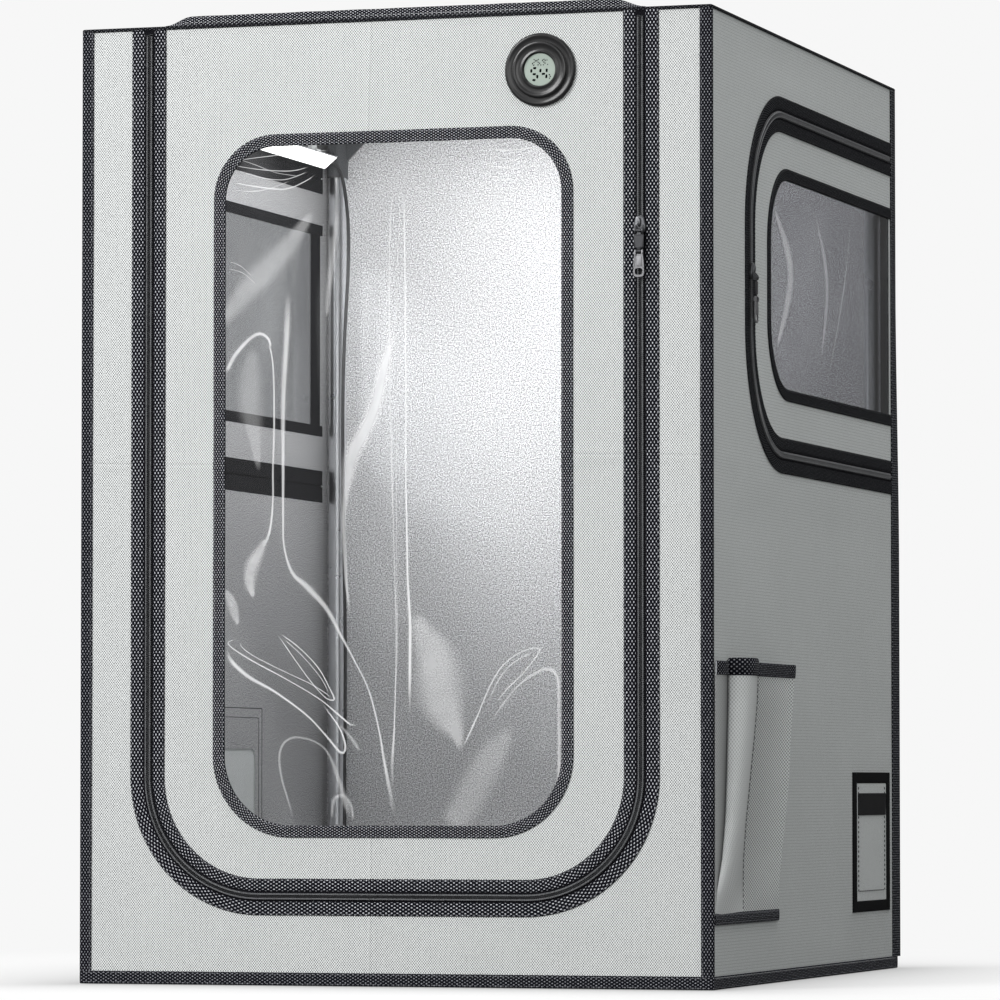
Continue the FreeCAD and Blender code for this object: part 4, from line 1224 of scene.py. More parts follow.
# ---------------------------------------------------------------------------
# Edge webbing
# ---------------------------------------------------------------------------
def corner_section(leg_x, leg_y, radius=2.2, thick=1.0, count=6):
    """Closed section of webbing folded round the outer corner at the origin, its legs
    along -x and -y."""
    outer = [(-leg_x, 0.0)]
    for k in range(count + 1):
        turn = k * math.pi / 2 / count
        outer.append((-radius + radius * math.sin(turn), -radius + radius * math.cos(turn)))
    outer.append((0.0, -leg_y))
    return outer + [(-thick, -leg_y), (-thick, -radius - 0.2), (-thick - 0.5, -thick - 0.5),
                    (-radius - 0.2, -thick), (-leg_x, -thick)]


def corner_strip(part, sx, sy):
    """Upright webbing on the corner with x sign sx and y sign sy."""
    leg_x, leg_y = (10.6, 3.0) if sy < 0 else (18.0, 18.0)
    section = corner_section(leg_x, leg_y)
    line = upright(0.0, 10.6, 798.9, 100)
    heights = line.table[:, 1]
    verts = []
    for z in heights:
        wave = 0.14 * noise3(z / 31, sx * 3 + sy, 2.0)
        for x, y in section:
            dx = wave if x < -leg_x + 0.5 else 0.0
            dy = wave if y < -leg_y + 0.5 else 0.0
            if sy > 0:                   # the rear corners swell outwards lower down
                dx += 2.6 * ramp(620 - z, 0, 260) * min(1.0, max(0.0, (y + 18.0) / 15.0)) * (
                    1.0 if x > -3 else max(0.0, (x + 18.0) / 15.0))
            verts.append((sx * (HALF_W + x + dx), sy * (HALF_D + y + dy), z))
    part.tube(verts, len(section), mat=0,
              uvs=grid_uvs(heights, outline_lengths(section)) + [section, section])
    inset = leg_x - 1.3
    stitches(part, line, 0, 0.0, Face(lambda x, y, depth: (
        sx * (HALF_W - inset) + x, sy * (HALF_D - depth), y)), mat=1)
    if sy > 0:
        stitches(part, line, 0, 0.0, Face(lambda x, y, depth: (
            sx * (HALF_W - depth), sy * (HALF_D - inset) + x, y)), mat=1)


part = Part()
for sx in (-1, 1):
    for sy in (-1, 1):
        corner_strip(part, sx, sy)
part.build("corner_binding", [CORNER_WEB, THREAD], "enclosure",
           "corner_webbing")

# rings round the base and the roof: (outward offset, z) sections
RING = rounded_box(-HALF_W, -HALF_D, HALF_W, HALF_D, 2.4, step=8.0, arc=0.6)
BASE_SECTION = [(0.0, 0.5), (-0.5, 0.0), (-9.0, 0.0), (-9.0, 0.02), (-1.0, 0.45),
                (-1.0, 10.8), (-0.4, 10.9), (0.0, 10.5), (0.12, 6.0)]
ROOF_SECTION = [(-10.0, 799.0), (-10.0, 799.7), (-9.4, 800.0), (-5.0, 800.1), (-1.2, 799.95),
                (-0.3, 799.6), (0.1, 798.8), (0.12, 797.4), (-0.2, 797.0), (-0.95, 797.2),
                (-1.0, 799.0)]
for name, section, web in (("base", BASE_SECTION, CORNER_WEB), ("roof", ROOF_SECTION, SHADED_SIDE_WEB)):
    part = Part()
    strip(part, RING, section, FLOOR)
    part.build(f"{name}_binding", [web], "enclosure", f"{name}_edge_webbing")

# two thread rows on the base webbing, all four sides
part = Part()
for face, half in ((FRONT_FLAT, HALF_W), (REAR_FLAT, HALF_W), (RIGHT_FLAT, HALF_D),
                   (LEFT_FLAT, HALF_D)):
    stitches(part, level(9.2, -half + 4, half - 4, 80), 0, -0.06, face,
             mat=0 if face is FRONT_FLAT else 1)
    stitches(part, level(1.6, -half + 4, half - 4, 80), 0, -0.02, face)
part.build("base_thread", [THREAD, LIGHT_THREAD], "enclosure")


def roof_hem():
    """Standing hem above the front door, a folded strip with low, thick ends."""
    start, length, count = -200, 418, 110
    # across the thickness, up the height
    section = [(-1, 0.0), (-1, 0.35), (-0.9, 0.8), (-0.35, 1.0), (0.35, 1.0), (0.9, 0.8),
               (1, 0.35), (1, 0.0)]
    girth = [0, 2.6, 6.0, 7.6, 8.6, 10.2, 13.6, 16.2]
    size = len(section)
    verts, faces, uvs = [], [], []
    for i in range(count + 1):
        t = i / count
        x = start + length * t
        rise = min(ramp(t, 0.0, 0.055), ramp(1 - t, 0.0, 0.065))
        height = 0.5 + 7.0 * rise + 0.25 * noise3(x / 22, 1.0, 3.0) * rise
        lean = 0.25 * noise3(x / 40, 2.0, 8.0) + 1.4 * (1 - rise)
        half = 0.62 + 0.5 * (1 - rise)
        for across, up in section:
            verts.append((x, -HALF_D + 1.3 + across * half + lean * up, 799.9 + height * up))
    for i in range(count):
        x0, x1 = length * i / count, length * (i + 1) / count
        a = i * size
        faces += [(a + j, a + j + size, a + j + size + 1, a + j + 1) for j in range(size - 1)]
        faces.append((a, a + size - 1, a + 2 * size - 1, a + size))
        uvs += grid_uvs([x0, x1], girth) + [[(0, 0)] * 4]
    faces += [tuple(range(size)), tuple(count * size + j for j in range(size))]
    uvs += [[(0, 0)] * size] * 2
    part = Part()
    part.add(verts, faces, uvs)
    stitches(part, level(802.0, -184, 202, 60), 0, 0.62, FRONT_FLAT, length=2.6, gap=1.4,
             width=0.6, height=0.4, mat=1)
    part.build("roof_hem", [WEB, LIGHT_THREAD], "enclosure", "roof_front_hem")


roof_hem()

# ---------------------------------------------------------------------------
# Sliders and pulls.  Local frame: pin height at z 0, outward -y, door side -x
# ---------------------------------------------------------------------------
PIN_Y = -4.6
LINK_LENGTH = 17.0
FRONT_PIN_Z, SIDE_PIN_Z = 616.2, 586.2


def slab(start, end):
    return [(start, 1.0), (end, 1.0)]


def extrude(part, place, outline, rings, hole=None):
    """Prism of a local (x, z) outline; rings are (y, scale) steps through it.  A hole has
    as many points as the outline."""
    n = len(outline)
    mid_x = sum(p[0] for p in outline) / n
    mid_z = sum(p[1] for p in outline) / n
    verts = []
    for y, scale in rings:
        verts += [place(mid_x + (x - mid_x) * scale, y, mid_z + (z - mid_z) * scale)
                  for x, z in outline]
    if not hole:
        part.tube(verts, n)
        return
    faces = tube_faces(len(rings), n)
    first, last = len(verts), (len(rings) - 1) * n
    for y in (rings[0][0], rings[-1][0]):
        verts += [place(x, y, z) for x, z in hole]
    for j in range(n):
        k = (j + 1) % n
        near, near2, far, far2 = first + j, first + k, first + n + j, first + n + k
        faces += [(j, k, near2, near), (last + j, last + k, far2, far),
                  (near, near2, far2, far)]
    part.add(verts, faces)


def rod(part, place, half, z, radius, sides=14, bore=0.0):
    """Round bar or sleeve along local x at the pin's depth, with softened ends."""
    start = Vector((-half, PIN_Y, z))
    axis = Vector((2 * half, 0, 0))
    length = axis.length
    axis.normalize()
    out = axis.cross(Vector((0, 0, 1))).normalized()
    down = axis.cross(out)
    soft = 0.18 * radius
    section = [(0.0, radius - soft), (soft, radius), (length - soft, radius),
               (length, radius - soft)]
    if bore:
        section += [(length, bore), (0.0, bore)]
    verts = []
    for along, reach in section:
        for j in range(sides):
            turn = 2 * math.pi * j / sides
            spoke = out * math.cos(turn) + down * math.sin(turn)
            verts.append(place(*(start + axis * along + spoke * reach)))
    part.tube(verts, sides, closed=bool(bore))


def smooth_outline(points, rounds=2):
    """Cuts the corners of an outline, rounds times over."""
    for _ in range(rounds):
        cut = []
        for (x, z), (x2, z2) in zip(points, points[1:] + points[:1]):
            cut += [(x * 0.75 + x2 * 0.25, z * 0.75 + z2 * 0.25),
                    (x * 0.25 + x2 * 0.75, z * 0.25 + z2 * 0.75)]
        points = cut
    return points


def cheeks(part, place, outline, thick=1.2):
    """A pair of side plates with a (y, z) outline."""
    for x in (2.35, -3.55):
        part.prism([place(x, y, z) for y, z in outline],
                   [place(x + thick, y, z) for y, z in outline])


def slider_body(side, place):
    part = Part()
    # pear-shaped front plate
    plate = smooth_outline([(-2.6, 12.6), (2.6, 12.6), (3.9, 10.2), (4.4, 7.0), (5.25, 3.4),
                            (5.0, 0.8), (3.4, -1.5), (-3.4, -1.5), (-5.0, 0.8), (-5.25, 3.4),
                            (-4.4, 7.0), (-3.9, 10.2)])
    extrude(part, place, plate, [(-1.15, 0.98), (-1.35, 1.0), (-1.9, 1.0), (-2.3, 0.95),
                                 (-2.6, 0.82)])
    # side flanges
    for s in (-1, 1):
        flange = [(s * 3.1, -0.9), (s * 4.2, -0.9), (s * 5.0, 2.6), (s * 4.1, 8.6),
                  (s * 3.2, 10.6), (s * 2.6, 10.6)]
        extrude(part, place, flange if s > 0 else flange[::-1], slab(-1.6, 0.1))
    # inner plate on the door side, and the web that joins it
    inner = smooth_outline([(-3.9, 11.0), (0.25, 11.4), (0.25, -0.9), (-3.4, -0.9)], 1)
    extrude(part, place, inner, slab(1.25, 1.95))
    extrude(part, place, [(-0.28, -0.4), (0.28, -0.4), (0.28, 10.0), (-0.28, 10.0)],
            slab(-1.3, 1.3))
    # raised crown, then the cheeks that hold the pin
    crown = smooth_outline([(-1.5, 3.0), (1.5, 3.0), (1.75, 8.0), (1.0, 11.0), (-1.0, 11.0),
                            (-1.75, 8.0)])
    extrude(part, place, crown, [(-2.3, 1.0), (-3.1, 0.95), (-3.8, 0.80), (-4.2, 0.5)])
    cheeks(part, place, [(-2.2, -1.6), (-3.6, -2.3), (-5.0, -2.2), (-5.9, -1.2), (-6.15, 0.2),
                         (-5.6, 1.7), (-4.3, 3.2), (-2.2, 5.4)])
    rod(part, place, 3.9, 0, 0.8)
    part.build(f"slider_{side}_body", [SLIDER_METAL], f"{side}_slider",
               f"{side}_slider_body", bevel=0.16)


def pull_link(side, place):
    """Wide plate with an eye at each end."""
    part = Part()
    for z in (0, -LINK_LENGTH):
        rod(part, place, 2.1, z, 1.55, sides=18, bore=0.86)
    neck = -LINK_LENGTH + 1.25
    outline = [(-1.5, -1.25), (1.5, -1.25), (1.8, -3.0), (4.0, -3.1), (4.2, -3.6),
               (4.2, -13.4), (4.0, -13.8), (1.8, -14.0), (1.5, neck), (-1.5, neck),
               (-1.8, -14.0), (-4.0, -13.8), (-4.2, -13.4), (-4.2, -3.6), (-4.0, -3.1),
               (-1.8, -3.0)]
    extrude(part, place, outline, [(-4.15, 0.98), (-4.3, 1.0), (-4.9, 1.0), (-5.08, 0.96)])
    for low, high in ((-4.0, -3.3), (-13.7, -13.1)):
        extrude(part, place, rect(-3.6, low, 3.6, high), [(-4.9, 1.0), (-5.25, 1.0),
                                                          (-5.4, 0.9)])
    part.build(f"pull_{side}_link", [LINK_METAL], f"{side}_pull_link",
               f"{side}_slider_pull_link", bevel=0.06)


def pull_tab(side, place):
    """Tapered plate with raised rims and a slotted ring at its lower end."""
    part = Part()
    top, ring_z, count, square = -LINK_LENGTH - 2.1, -38.0 + 4.6, 36, 0.62
    outer, hole = [], []
    for j in range(count):
        turn = 2 * math.pi * j / count
        cos, sin = math.cos(turn), math.sin(turn)
        dx = math.copysign(abs(cos) ** square, cos)
        dz = math.copysign(abs(sin) ** square, sin)
        hole.append((3.30 * dx, ring_z + 2.75 * dz))
        outer.append((4.62 * dx, ring_z + (4.6 if sin < 0 else 4.0) * dz))
    extrude(part, place, outer, [(-4.05, 0.98), (-4.2, 1.0), (-5.0, 1.0), (-5.25, 0.97)], hole)
    low = ring_z + 3.4
    extrude(part, place, [(-3.3, top), (3.3, top), (4.25, low), (-4.25, low)],
            [(-4.2, 0.98), (-4.3, 1.0), (-4.85, 1.0), (-4.95, 0.98)])
    for s in (-1, 1):
        extrude(part, place, [(s * 3.25 - 0.42, top - 0.3), (s * 3.25 + 0.42, top - 0.3),
                              (s * 4.25 + 0.40, low - 0.4), (s * 4.25 - 0.42, low - 0.4)],
                slab(-5.35, -4.1))
    extrude(part, place, [(-1.7, top - 1.4), (2.3, top - 1.4), (2.9, low + 0.9),
                          (-1.9, low + 0.9)], [(-4.6, 1.0), (-5.1, 1.0), (-5.28, 0.9)])
    # y, height above the lower pin
    profile = [(-3.3, -3.0), (-3.1, -0.6), (-3.6, 1.0), (-4.6, 1.5), (-5.6, 1.0), (-6.1, -0.6),
               (-5.9, -3.0)]
    cheeks(part, place, [(y, -LINK_LENGTH + z) for y, z in profile])
    rod(part, place, 3.8, -LINK_LENGTH, 0.8)
    part.build(f"pull_{side}_tab", [PULL_METAL], f"{side}_pull_tab",
               f"{side}_slider_pull_tab", bevel=0.12)


for side, place in (
        ("front", lambda x, y, z: (ZIP_X + x, -HALF_D + y, FRONT_PIN_Z + z)),
        ("right", lambda x, y, z: (HALF_W - y, SIDE_Y - x, SIDE_PIN_Z + z)),
        ("left", lambda x, y, z: (-HALF_W + y, SIDE_Y - x, SIDE_PIN_Z + z))):
    slider_body(side, place)
    pull_link(side, place)
    pull_tab(side, place)


# ---------------------------------------------------------------------------
# Hygrometer: turned shells and a display with seven-segment digits
# ---------------------------------------------------------------------------
def gauge_point(radius, turn, depth):
    return (GAUGE_X + radius * math.cos(turn), -HALF_D + depth,
            GAUGE_Z + radius * math.sin(turn))


def lathe(name, section, mat, replaced, count=96):
    """Closed (radius, depth) section turned about the gauge axis."""
    part = Part()
    part.tube([gauge_point(radius, 2 * math.pi * j / count, depth) for j in range(count)
               for radius, depth in section], len(section), closed=True)
    part.build(name, [mat], "front_door", replaced, smooth=30)


RING_SECTION = [
    (30.25, 1.0), (30.25, -0.7), (29.95, -1.35), (29.2, -1.95), (28.3, -2.15), (27.2, -2.0),
    (26.6, -1.75), (24.4, -1.55), (23.6, -1.6), (23.2, -1.9), (22.6, -2.1), (21.75, -2.1),
    (21.65, 3.4), (24.4, 3.4), (24.4, 1.0)]
CASE_SECTION = [
    (23.0, -2.3), (23.15, -3.1), (22.8, -3.75), (22.0, -4.05), (21.0, -3.95), (20.2, -3.6),
    (19.4, -3.35), (16.8, -3.15), (15.9, -3.25), (15.3, -3.55), (14.7, -3.6), (14.2, -3.3),
    (13.7, -2.5), (13.38, -1.6), (13.38, -1.0), (20.3, -1.0), (20.3, 10.8), (21.45, 10.8),
    (21.45, -2.3)]
BACK_SECTION = [
    (21.5, 11.0), (21.5, 12.0), (21.0, 12.4), (12.0, 12.4), (11.6, 12.0), (0.6, 12.0),
    (0.6, 10.9), (20.2, 10.9), (20.2, 11.0)]
lathe("gauge_ring", RING_SECTION, GAUGE_SHELL, "hygrometer_mounting_ring")
lathe("gauge_case", CASE_SECTION, GAUGE_BEZEL, "hygrometer_case")

part = Part()
part.prism(*([gauge_point(13.30, 2 * math.pi * j / 72, depth) for j in range(72)]
             for depth in (-1.75, -1.0)))
part.build("gauge_display", [DISPLAY], "front_door", "hygrometer_lcd",
           smooth=30)

# segments run clockwise a to f from the top, g is the middle bar
SEGMENTS = {"2": "abged", "4": "fgbc", "5": "afgcd", "9": "abfgcd"}
# (digit, x), then z, width, height, thickness, then dots (x, z, half size);
# places are from the gauge centre
DISPLAY_ROWS = (
    ((("2", -6.2), ("5", -2.6), ("9", 2.2)), 3.8, 2.35, 4.5, 0.86,
     ((1.0, 3.7, 0.45), (6.3, 7.6, 0.42), (6.9, 4.0, 0.40))),
    ((("5", -7.6), ("4", 0.2)), -8.6, 5.4, 9.8, 1.75,
     ((8.3, -4.6, 0.5), (9.1, -6.0, 0.5), (8.4, -7.4, 0.45))))
SLANT = 0.06


def ink(part, outline):
    """Thin raised plate of an (x, z) outline on the display."""
    part.prism(*([FRONT_FLAT.at(x, z, depth) for x, z in outline] for depth in (-1.84, -1.72)))


def digit(part, char, x, z, width, height, thick):
    """Seven-segment digit with its lower left corner at x, z."""
    gap, mid, half = thick * 0.18, height / 2, thick / 2
    # start of each bar, and whether it stands upright
    bars = {"a": (x + half, z + height, False), "g": (x + half, z + mid, False),
            "d": (x + half, z, False), "f": (x, z + mid + half, True),
            "b": (x + width, z + mid + half, True), "e": (x, z + half, True),
            "c": (x + width, z + half, True)}
    for segment in SEGMENTS[char]:
        bar_x, bar_z, stands = bars[segment]
        if stands:
            length, extra = mid - thick, thick * 0.4
            outline = [(bar_x, bar_z + gap), (bar_x + half, bar_z + half),
                       (bar_x + half, bar_z + length - half + extra),
                       (bar_x, bar_z + length - gap + extra),
                       (bar_x - half, bar_z + length - half + extra),
                       (bar_x - half, bar_z + half)]
        else:
            length = width - thick
            outline = [(bar_x + gap, bar_z), (bar_x + half, bar_z + half),
                       (bar_x + length - half + thick * 0.1, bar_z + half),
                       (bar_x + length - gap, bar_z), (bar_x + length - half, bar_z - half),
                       (bar_x + half, bar_z - half)]
        ink(part, [(px + (pz - z) * SLANT, pz) for px, pz in outline])


part = Part()
for digits, z, width, height, thick, dots in DISPLAY_ROWS:
    for char, x in digits:
        digit(part, char, GAUGE_X + x, GAUGE_Z + z, width, height, thick)
    for x, z, half in dots:
        x, z = GAUGE_X + x, GAUGE_Z + z
        ink(part, rect(x - half, z - half, x + half, z + half))
part.build("gauge_digits", [INK], "front_door", smooth=0)

lathe("gauge_back", BACK_SECTION, GAUGE_SHELL, "hygrometer_battery_cover")

# ---------------------------------------------------------------------------
# Pocket: two open compartments of cloth on the right wall.  The cloth lies close to the
# wall by the front corner, turns out of a sharp groove into a rounded fold, runs to the
# stitched seam and on as a nearly flat rear part.
# ---------------------------------------------------------------------------
# height, y of the groove, then the stand-off of the front strip, fold, seam and rear edge
POCKET_SHAPE = [(60, -305.5, 0.5, 0.9, 0.4, 0.6), (80, -302.0, 0.8, 3.6, 0.5, 0.9),
                (105, -288.0, 1.6, 6.4, 0.9, 3.6), (137, -279.0, 2.4, 9.4, 3.4, 6.9),
                (170, -275.5, 3.1, 12.4, 6.7, 10.2), (202, -273.5, 3.7, 15.0, 10.0, 11.9),
                (234, -271.5, 4.3, 17.0, 13.0, 13.6), (266, -272.0, 4.7, 18.4, 14.4, 15.4)]
POCKET_COUNT = 100                                  # samples across the cloth


def pocket_points(groove, front, fold, seam, rear):
    """The 20 (y, stand-off) points of a section; the groove is 5 and the seam 13."""
    low = 0.3 + 0.045 * fold
    points = [(POCKET_FRONT + (groove - POCKET_FRONT) * t, out) for t, out in (
        (0.0, 0.3 + 0.25 * front), (0.2, 0.75 * front), (0.45, front), (0.7, 0.86 * front),
        (0.88, max(0.5 * front, low)))]
    points.append((groove, low))
    points += [(groove + dy, max(low, fold * k)) for dy, k in (
        (0.9, 0.26), (2.4, 0.52), (5.2, 0.76), (10.0, 0.93), (17.0, 1.0))]
    crest = groove + 17.0
    points += [(crest + (POCKET_SEAM - crest) * t, fold + (seam - fold) * k)
               for t, k in ((0.34, 0.10), (0.70, 0.52), (1.0, 1.0))]
    points.append((POCKET_SEAM + 4.5, seam + 0.35 * min(1.0, seam)))
    points += [(y, seam + (rear - seam) * k) for y, k in (
        (-200.0, 0.16), (-165.0, 0.34), (-130.0, 0.68), (-111.0, 1.0))]
    points.append((POCKET_REAR, min(3.0, 0.3 + 0.2 * rear)))
    return points


def smooth_section(points):
    points = np.array(points, float)
    padded = extend_ends(points)
    t = np.linspace(0, len(points) - 1, POCKET_COUNT)
    i = np.minimum(t.astype(int), len(points) - 2)
    smooth = spline(padded[i], padded[i + 1], padded[i + 2], padded[i + 3], (t - i)[:, None])
    smooth[:, 1] = np.maximum(smooth[:, 1], 0.25)
    return smooth


POCKET_HEIGHTS = [float(row[0]) for row in POCKET_SHAPE]
POCKET_SECTIONS = [smooth_section(pocket_points(*row[1:])) for row in POCKET_SHAPE]


def pocket_row(z):
    """(y, stand-off) samples of the cloth at height z."""
    heights = POCKET_HEIGHTS
    z = min(max(z, heights[0]), heights[-1])
    i = max(k for k in range(len(heights) - 1) if z >= heights[k] - 1e-9)
    t = (z - heights[i]) / (heights[i + 1] - heights[i])
    row = POCKET_SECTIONS[i] * (1 - t) + POCKET_SECTIONS[i + 1] * t
    fade = ramp(z, 66, 130)
    for sample in row:
        loose = min(1.0, sample[1] / 4.0)
        sample[1] += 0.45 * fade * loose * noise3(sample[0] / 16, z / 55, 3.0)
    return row


POCKET_ZS = list(np.linspace(POCKET_BOTTOM + 8, POCKET_TOP - 1.0, 60))
POCKET_ROWS = [pocket_row(z) for z in POCKET_ZS]
POCKET_US = [0.0]                                   # length across the cloth at its top
for before, after in zip(POCKET_ROWS[-1], POCKET_ROWS[-1][1:]):
    POCKET_US.append(POCKET_US[-1] + float(np.hypot(*(after - before))))
GROOVE_INDEX = round(5 * (POCKET_COUNT - 1) / 19)
SEAM_INDEX = round(13 * (POCKET_COUNT - 1) / 19)


def pocket_painted_light(mat, x, y):
    """Painted light and shade across the folds: dark in the groove and along the seam, a painted
    highlight on the fold past the groove, the rear lighter towards its end.
    """
    groove, seam, end = POCKET_US[GROOVE_INDEX], POCKET_US[SEAM_INDEX], POCKET_US[-1]
    front = mat.remap(x, 0.0, groove, to_low=0.54, to_high=0.06)
    past_groove = mat.remap(x, groove, groove + 3.0)
    fold = mat.remap(x, groove + 4.0, seam, to_low=1.02, to_high=0.56, smooth=False)
    rear = mat.remap(x, seam, end - 12.0, to_low=0.70, to_high=1.02, smooth=False)
    tone = mat.add(mat.mul(front, mat.sub(1.0, past_groove)), mat.mul(past_groove, fold))
    past_seam = mat.remap(x, seam - 1.0, seam + 1.0)
    tone = mat.add(mat.mul(tone, mat.sub(1.0, past_seam)), mat.mul(past_seam, rear))
    tone = mat.mul(tone, mat.remap(mat.absolute(mat.sub(x, seam)), 0.0, 5.0, to_low=0.80))
    above = mat.remap(y, low=62.0, high=92.0)
    return mat.add(mat.mul(tone, above), mat.mul(0.78, mat.sub(1.0, above)))


# Both pocket cloths carry the painted light and shade above; the front cloth's low weave
# contrast matches its smoother look and also lightens it as part of the painted highlight.
POCKET_CLOTH = woven("pocket cloth", contrast=0.34, pitch=(3.1, 3.4), tone=pocket_painted_light)
POCKET_REAR_CLOTH = woven("pocket cloth rear", contrast=0.70, pitch=(7.4, 3.0),
                          tone=pocket_painted_light)


def seam_face(x, y, depth):
    row = pocket_row(y)
    out = float(np.interp(POCKET_SEAM + 1.6, row[:, 0], row[:, 1]))
    return (HALF_W + out + 0.1 - depth, x, y)


def pocket_cloth():
    verts = []
    for t in (0.0, 1.0):                 # outer face, then inner face
        for z, row in zip(POCKET_ZS, POCKET_ROWS):
            for (y, out), (ny, nx) in zip(row, line_normals(row)):
                thick = min(1.0, max(0.0, (out - 0.3) / 1.2))
                verts.append((HALF_W + max(out - nx * t * thick - 0.2 * t, 0.03),
                              y - ny * t * thick, z))
    n, rows = POCKET_COUNT, len(POCKET_ZS)
    back = n * rows
    faces, uvs, mats = [], [], []
    for i in range(rows - 1):
        for j in range(n - 1):
            for a in (i * n + j, i * n + j + back):
                faces.append((a, a + 1, a + n + 1, a + n))
            x0, x1, z0, z1 = POCKET_US[j], POCKET_US[j + 1], POCKET_ZS[i], POCKET_ZS[i + 1]
            uvs += [rect(x0, z0, x1, z1)] * 2
            mats += [0 if j < SEAM_INDEX else 1, 0]
    rim = [(j, 0) for j in range(n)] + [(n - 1, i) for i in range(1, rows)]
    rim += [(j, rows - 1) for j in range(n - 2, -1, -1)]
    rim += [(0, i) for i in range(rows - 2, 0, -1)]
    for (j, i), (j2, i2) in zip(rim, rim[1:] + rim[:1]):
        a, b = i * n + j, i2 * n + j2
        faces.append((a, b, b + back, a + back))
        x0, x1, z0, z1 = POCKET_US[j], POCKET_US[j2], POCKET_ZS[i], POCKET_ZS[i2]
        uvs.append([(x0, z0), (x1, z1), (x1, z1 + 1), (x0, z0 + 1)])
        mats.append(0)
    part = Part()
    part.add(verts, faces, uvs, mats)
    stitches(part, upright(POCKET_SEAM + 1.6, 62, 254, 70), 0, 0, Face(seam_face), length=2.9,
             gap=1.9, width=0.85, height=0.35, mat=2)
    part.build("pocket_cloth", [POCKET_CLOTH, POCKET_REAR_CLOTH, DARK_THREAD], "enclosure",
               "pocket_panel", smooth=60)


def pocket_binding():
    """Binding folded over the mouth, and a base binding sewn flat to the wall."""
    # stand-off from the cloth, share of the binding's height
    section = [(0.25, 0.0), (0.85, 0.06), (1.0, 0.5), (0.85, 0.93), (0.1, 1.0), (-1.1, 0.95),
               (-1.3, 0.5), (-1.15, 0.0)]
    girth = [0, 0.9, 5.5, 10.0, 11.0, 12.5, 17.0, 22.0, 23.5]
    height = 11.3
    low = POCKET_TOP - height
    rows = [pocket_row(low + height * share) for _, share in section]
    normals = [line_normals(row) for row in rows]
    verts = []
    for i in range(POCKET_COUNT):
        lift = (3.2 * ramp(i, GROOVE_INDEX - 2, GROOVE_INDEX + 4)
                * ramp(SEAM_INDEX + 1 - i, 0, 5))
        for j, (off, share) in enumerate(section):
            (y, out), (ny, nx) = rows[j][i], normals[j][i]
            verts.append((HALF_W + max(out + nx * off, 0.02 + 0.01 * j), y + ny * off,
                          low + (height + lift) * share))
    part = Part()
    size = len(section)
    part.tube(verts, size, uvs=grid_uvs(POCKET_US, girth) + [[(0, 0)] * size] * 2)
    strip(part, level(POCKET_BOTTOM, POCKET_FRONT, POCKET_REAR, 60),
          [(0.0, 0.0), (0.0, -0.6), (0.5, -1.0), (4.7, -1.15), (9.1, -1.0), (9.6, -0.6),
           (9.6, 0.0)], RIGHT_FLAT)
    for up in (1.6, 4.8, 8.1):
        line = level(POCKET_BOTTOM + up, POCKET_FRONT + 2, POCKET_REAR - 1, 60,
                     origin=POCKET_FRONT)
        stitches(part, line, 0, -1.0, RIGHT_FLAT, length=2.6, gap=1.0, width=0.5, height=0.35,
                 mat=1)
    part.build("pocket_binding", [CORNER_WEB, THREAD], "enclosure",
               "pocket_webbing")


pocket_cloth()
pocket_binding()

# ---------------------------------------------------------------------------
# Cable ports
# ---------------------------------------------------------------------------
PORT_SIDE_BAND, PORT_END_BAND = 14.0, 9.5           # widths of upright and level bindings
part = Part()
for _, _, face, (port_y, port_z) in SIDES:
    rear, top = port_y + PORT_W, port_z + PORT_H
    section = [(-x, depth) for x, depth in band(0, PORT_SIDE_BAND, top=-0.2)]
    for y in (port_y, rear - PORT_SIDE_BAND):
        strip(part, upright(y, port_z, top, 24, normal=-1.0), section, face)
    for z in (port_z, top - PORT_END_BAND):
        strip(part, level(z, port_y + 13.6, rear - 13.6, 24),
              band(0, PORT_END_BAND, top=-0.08), face)
part.build("port_binding", [PORT_WEB], "enclosure", "cable_port_frames")


def port_flap(side, face, port_y, port_z):
    rear, top = port_y + PORT_W, port_z + PORT_H

    def bulge(x, y):
        edge = min(x - port_y - 14, rear - 14 - x, y - port_z - 9.5)
        return (ramp(edge, 0, 14) * (0.35 + 0.4 * noise3(x / 30, y / 40, 2.0))
                * ramp(port_z + 84 - y, 0, 20))

    def fuzz(x, y):
        return (0.28 * abs(noise3(x * 1.1, y * 1.1, 5.0))
                + 0.2 * abs(noise3(x * 0.5, y * 0.5, 1.0)))

    part = Part()
    sheet(part, [rect(port_y + 14.4, port_z + 9.8, rear - 14.4, top - 9.9)],
          face.with_relief(bulge), 5.0, (0.25, 0.98), (0, 0, 0), inner=face)
    for y in (port_y + 18.6, rear - 20.6):
        line = upright(y, port_z + 18.5, top - 11, 24, origin=port_z + 12, normal=-1.0)
        stitches(part, line, 0, -0.1, face, length=2.6, gap=1.7, width=3.0, height=0.3, mat=1)
    stitches(part, level(port_z + 18.5, port_y + 19, rear - 20, 24), 0, -0.3, face,
             length=6.0, gap=0.4, width=0.8, height=0.3, mat=1)
    part.build(f"port_{side}_flap_cloth", [FLAP_CLOTH, DARK_THREAD], f"{side}_flap",
               f"{side}_port_flap")
    part = Part()
    sheet(part, [rect(port_y + 17, port_z + 85.5, rear - 17, port_z + 105.0)],
          face.with_relief(fuzz), 1.6, (-0.25, 0.2), (0, 0, 0), inner=face)
    part.build(f"port_{side}_hook_pad", [HOOK], f"{side}_flap",
               f"{side}_port_hook_strip")


for side, _, face, port in SIDES:
    port_flap(side, face, *port)

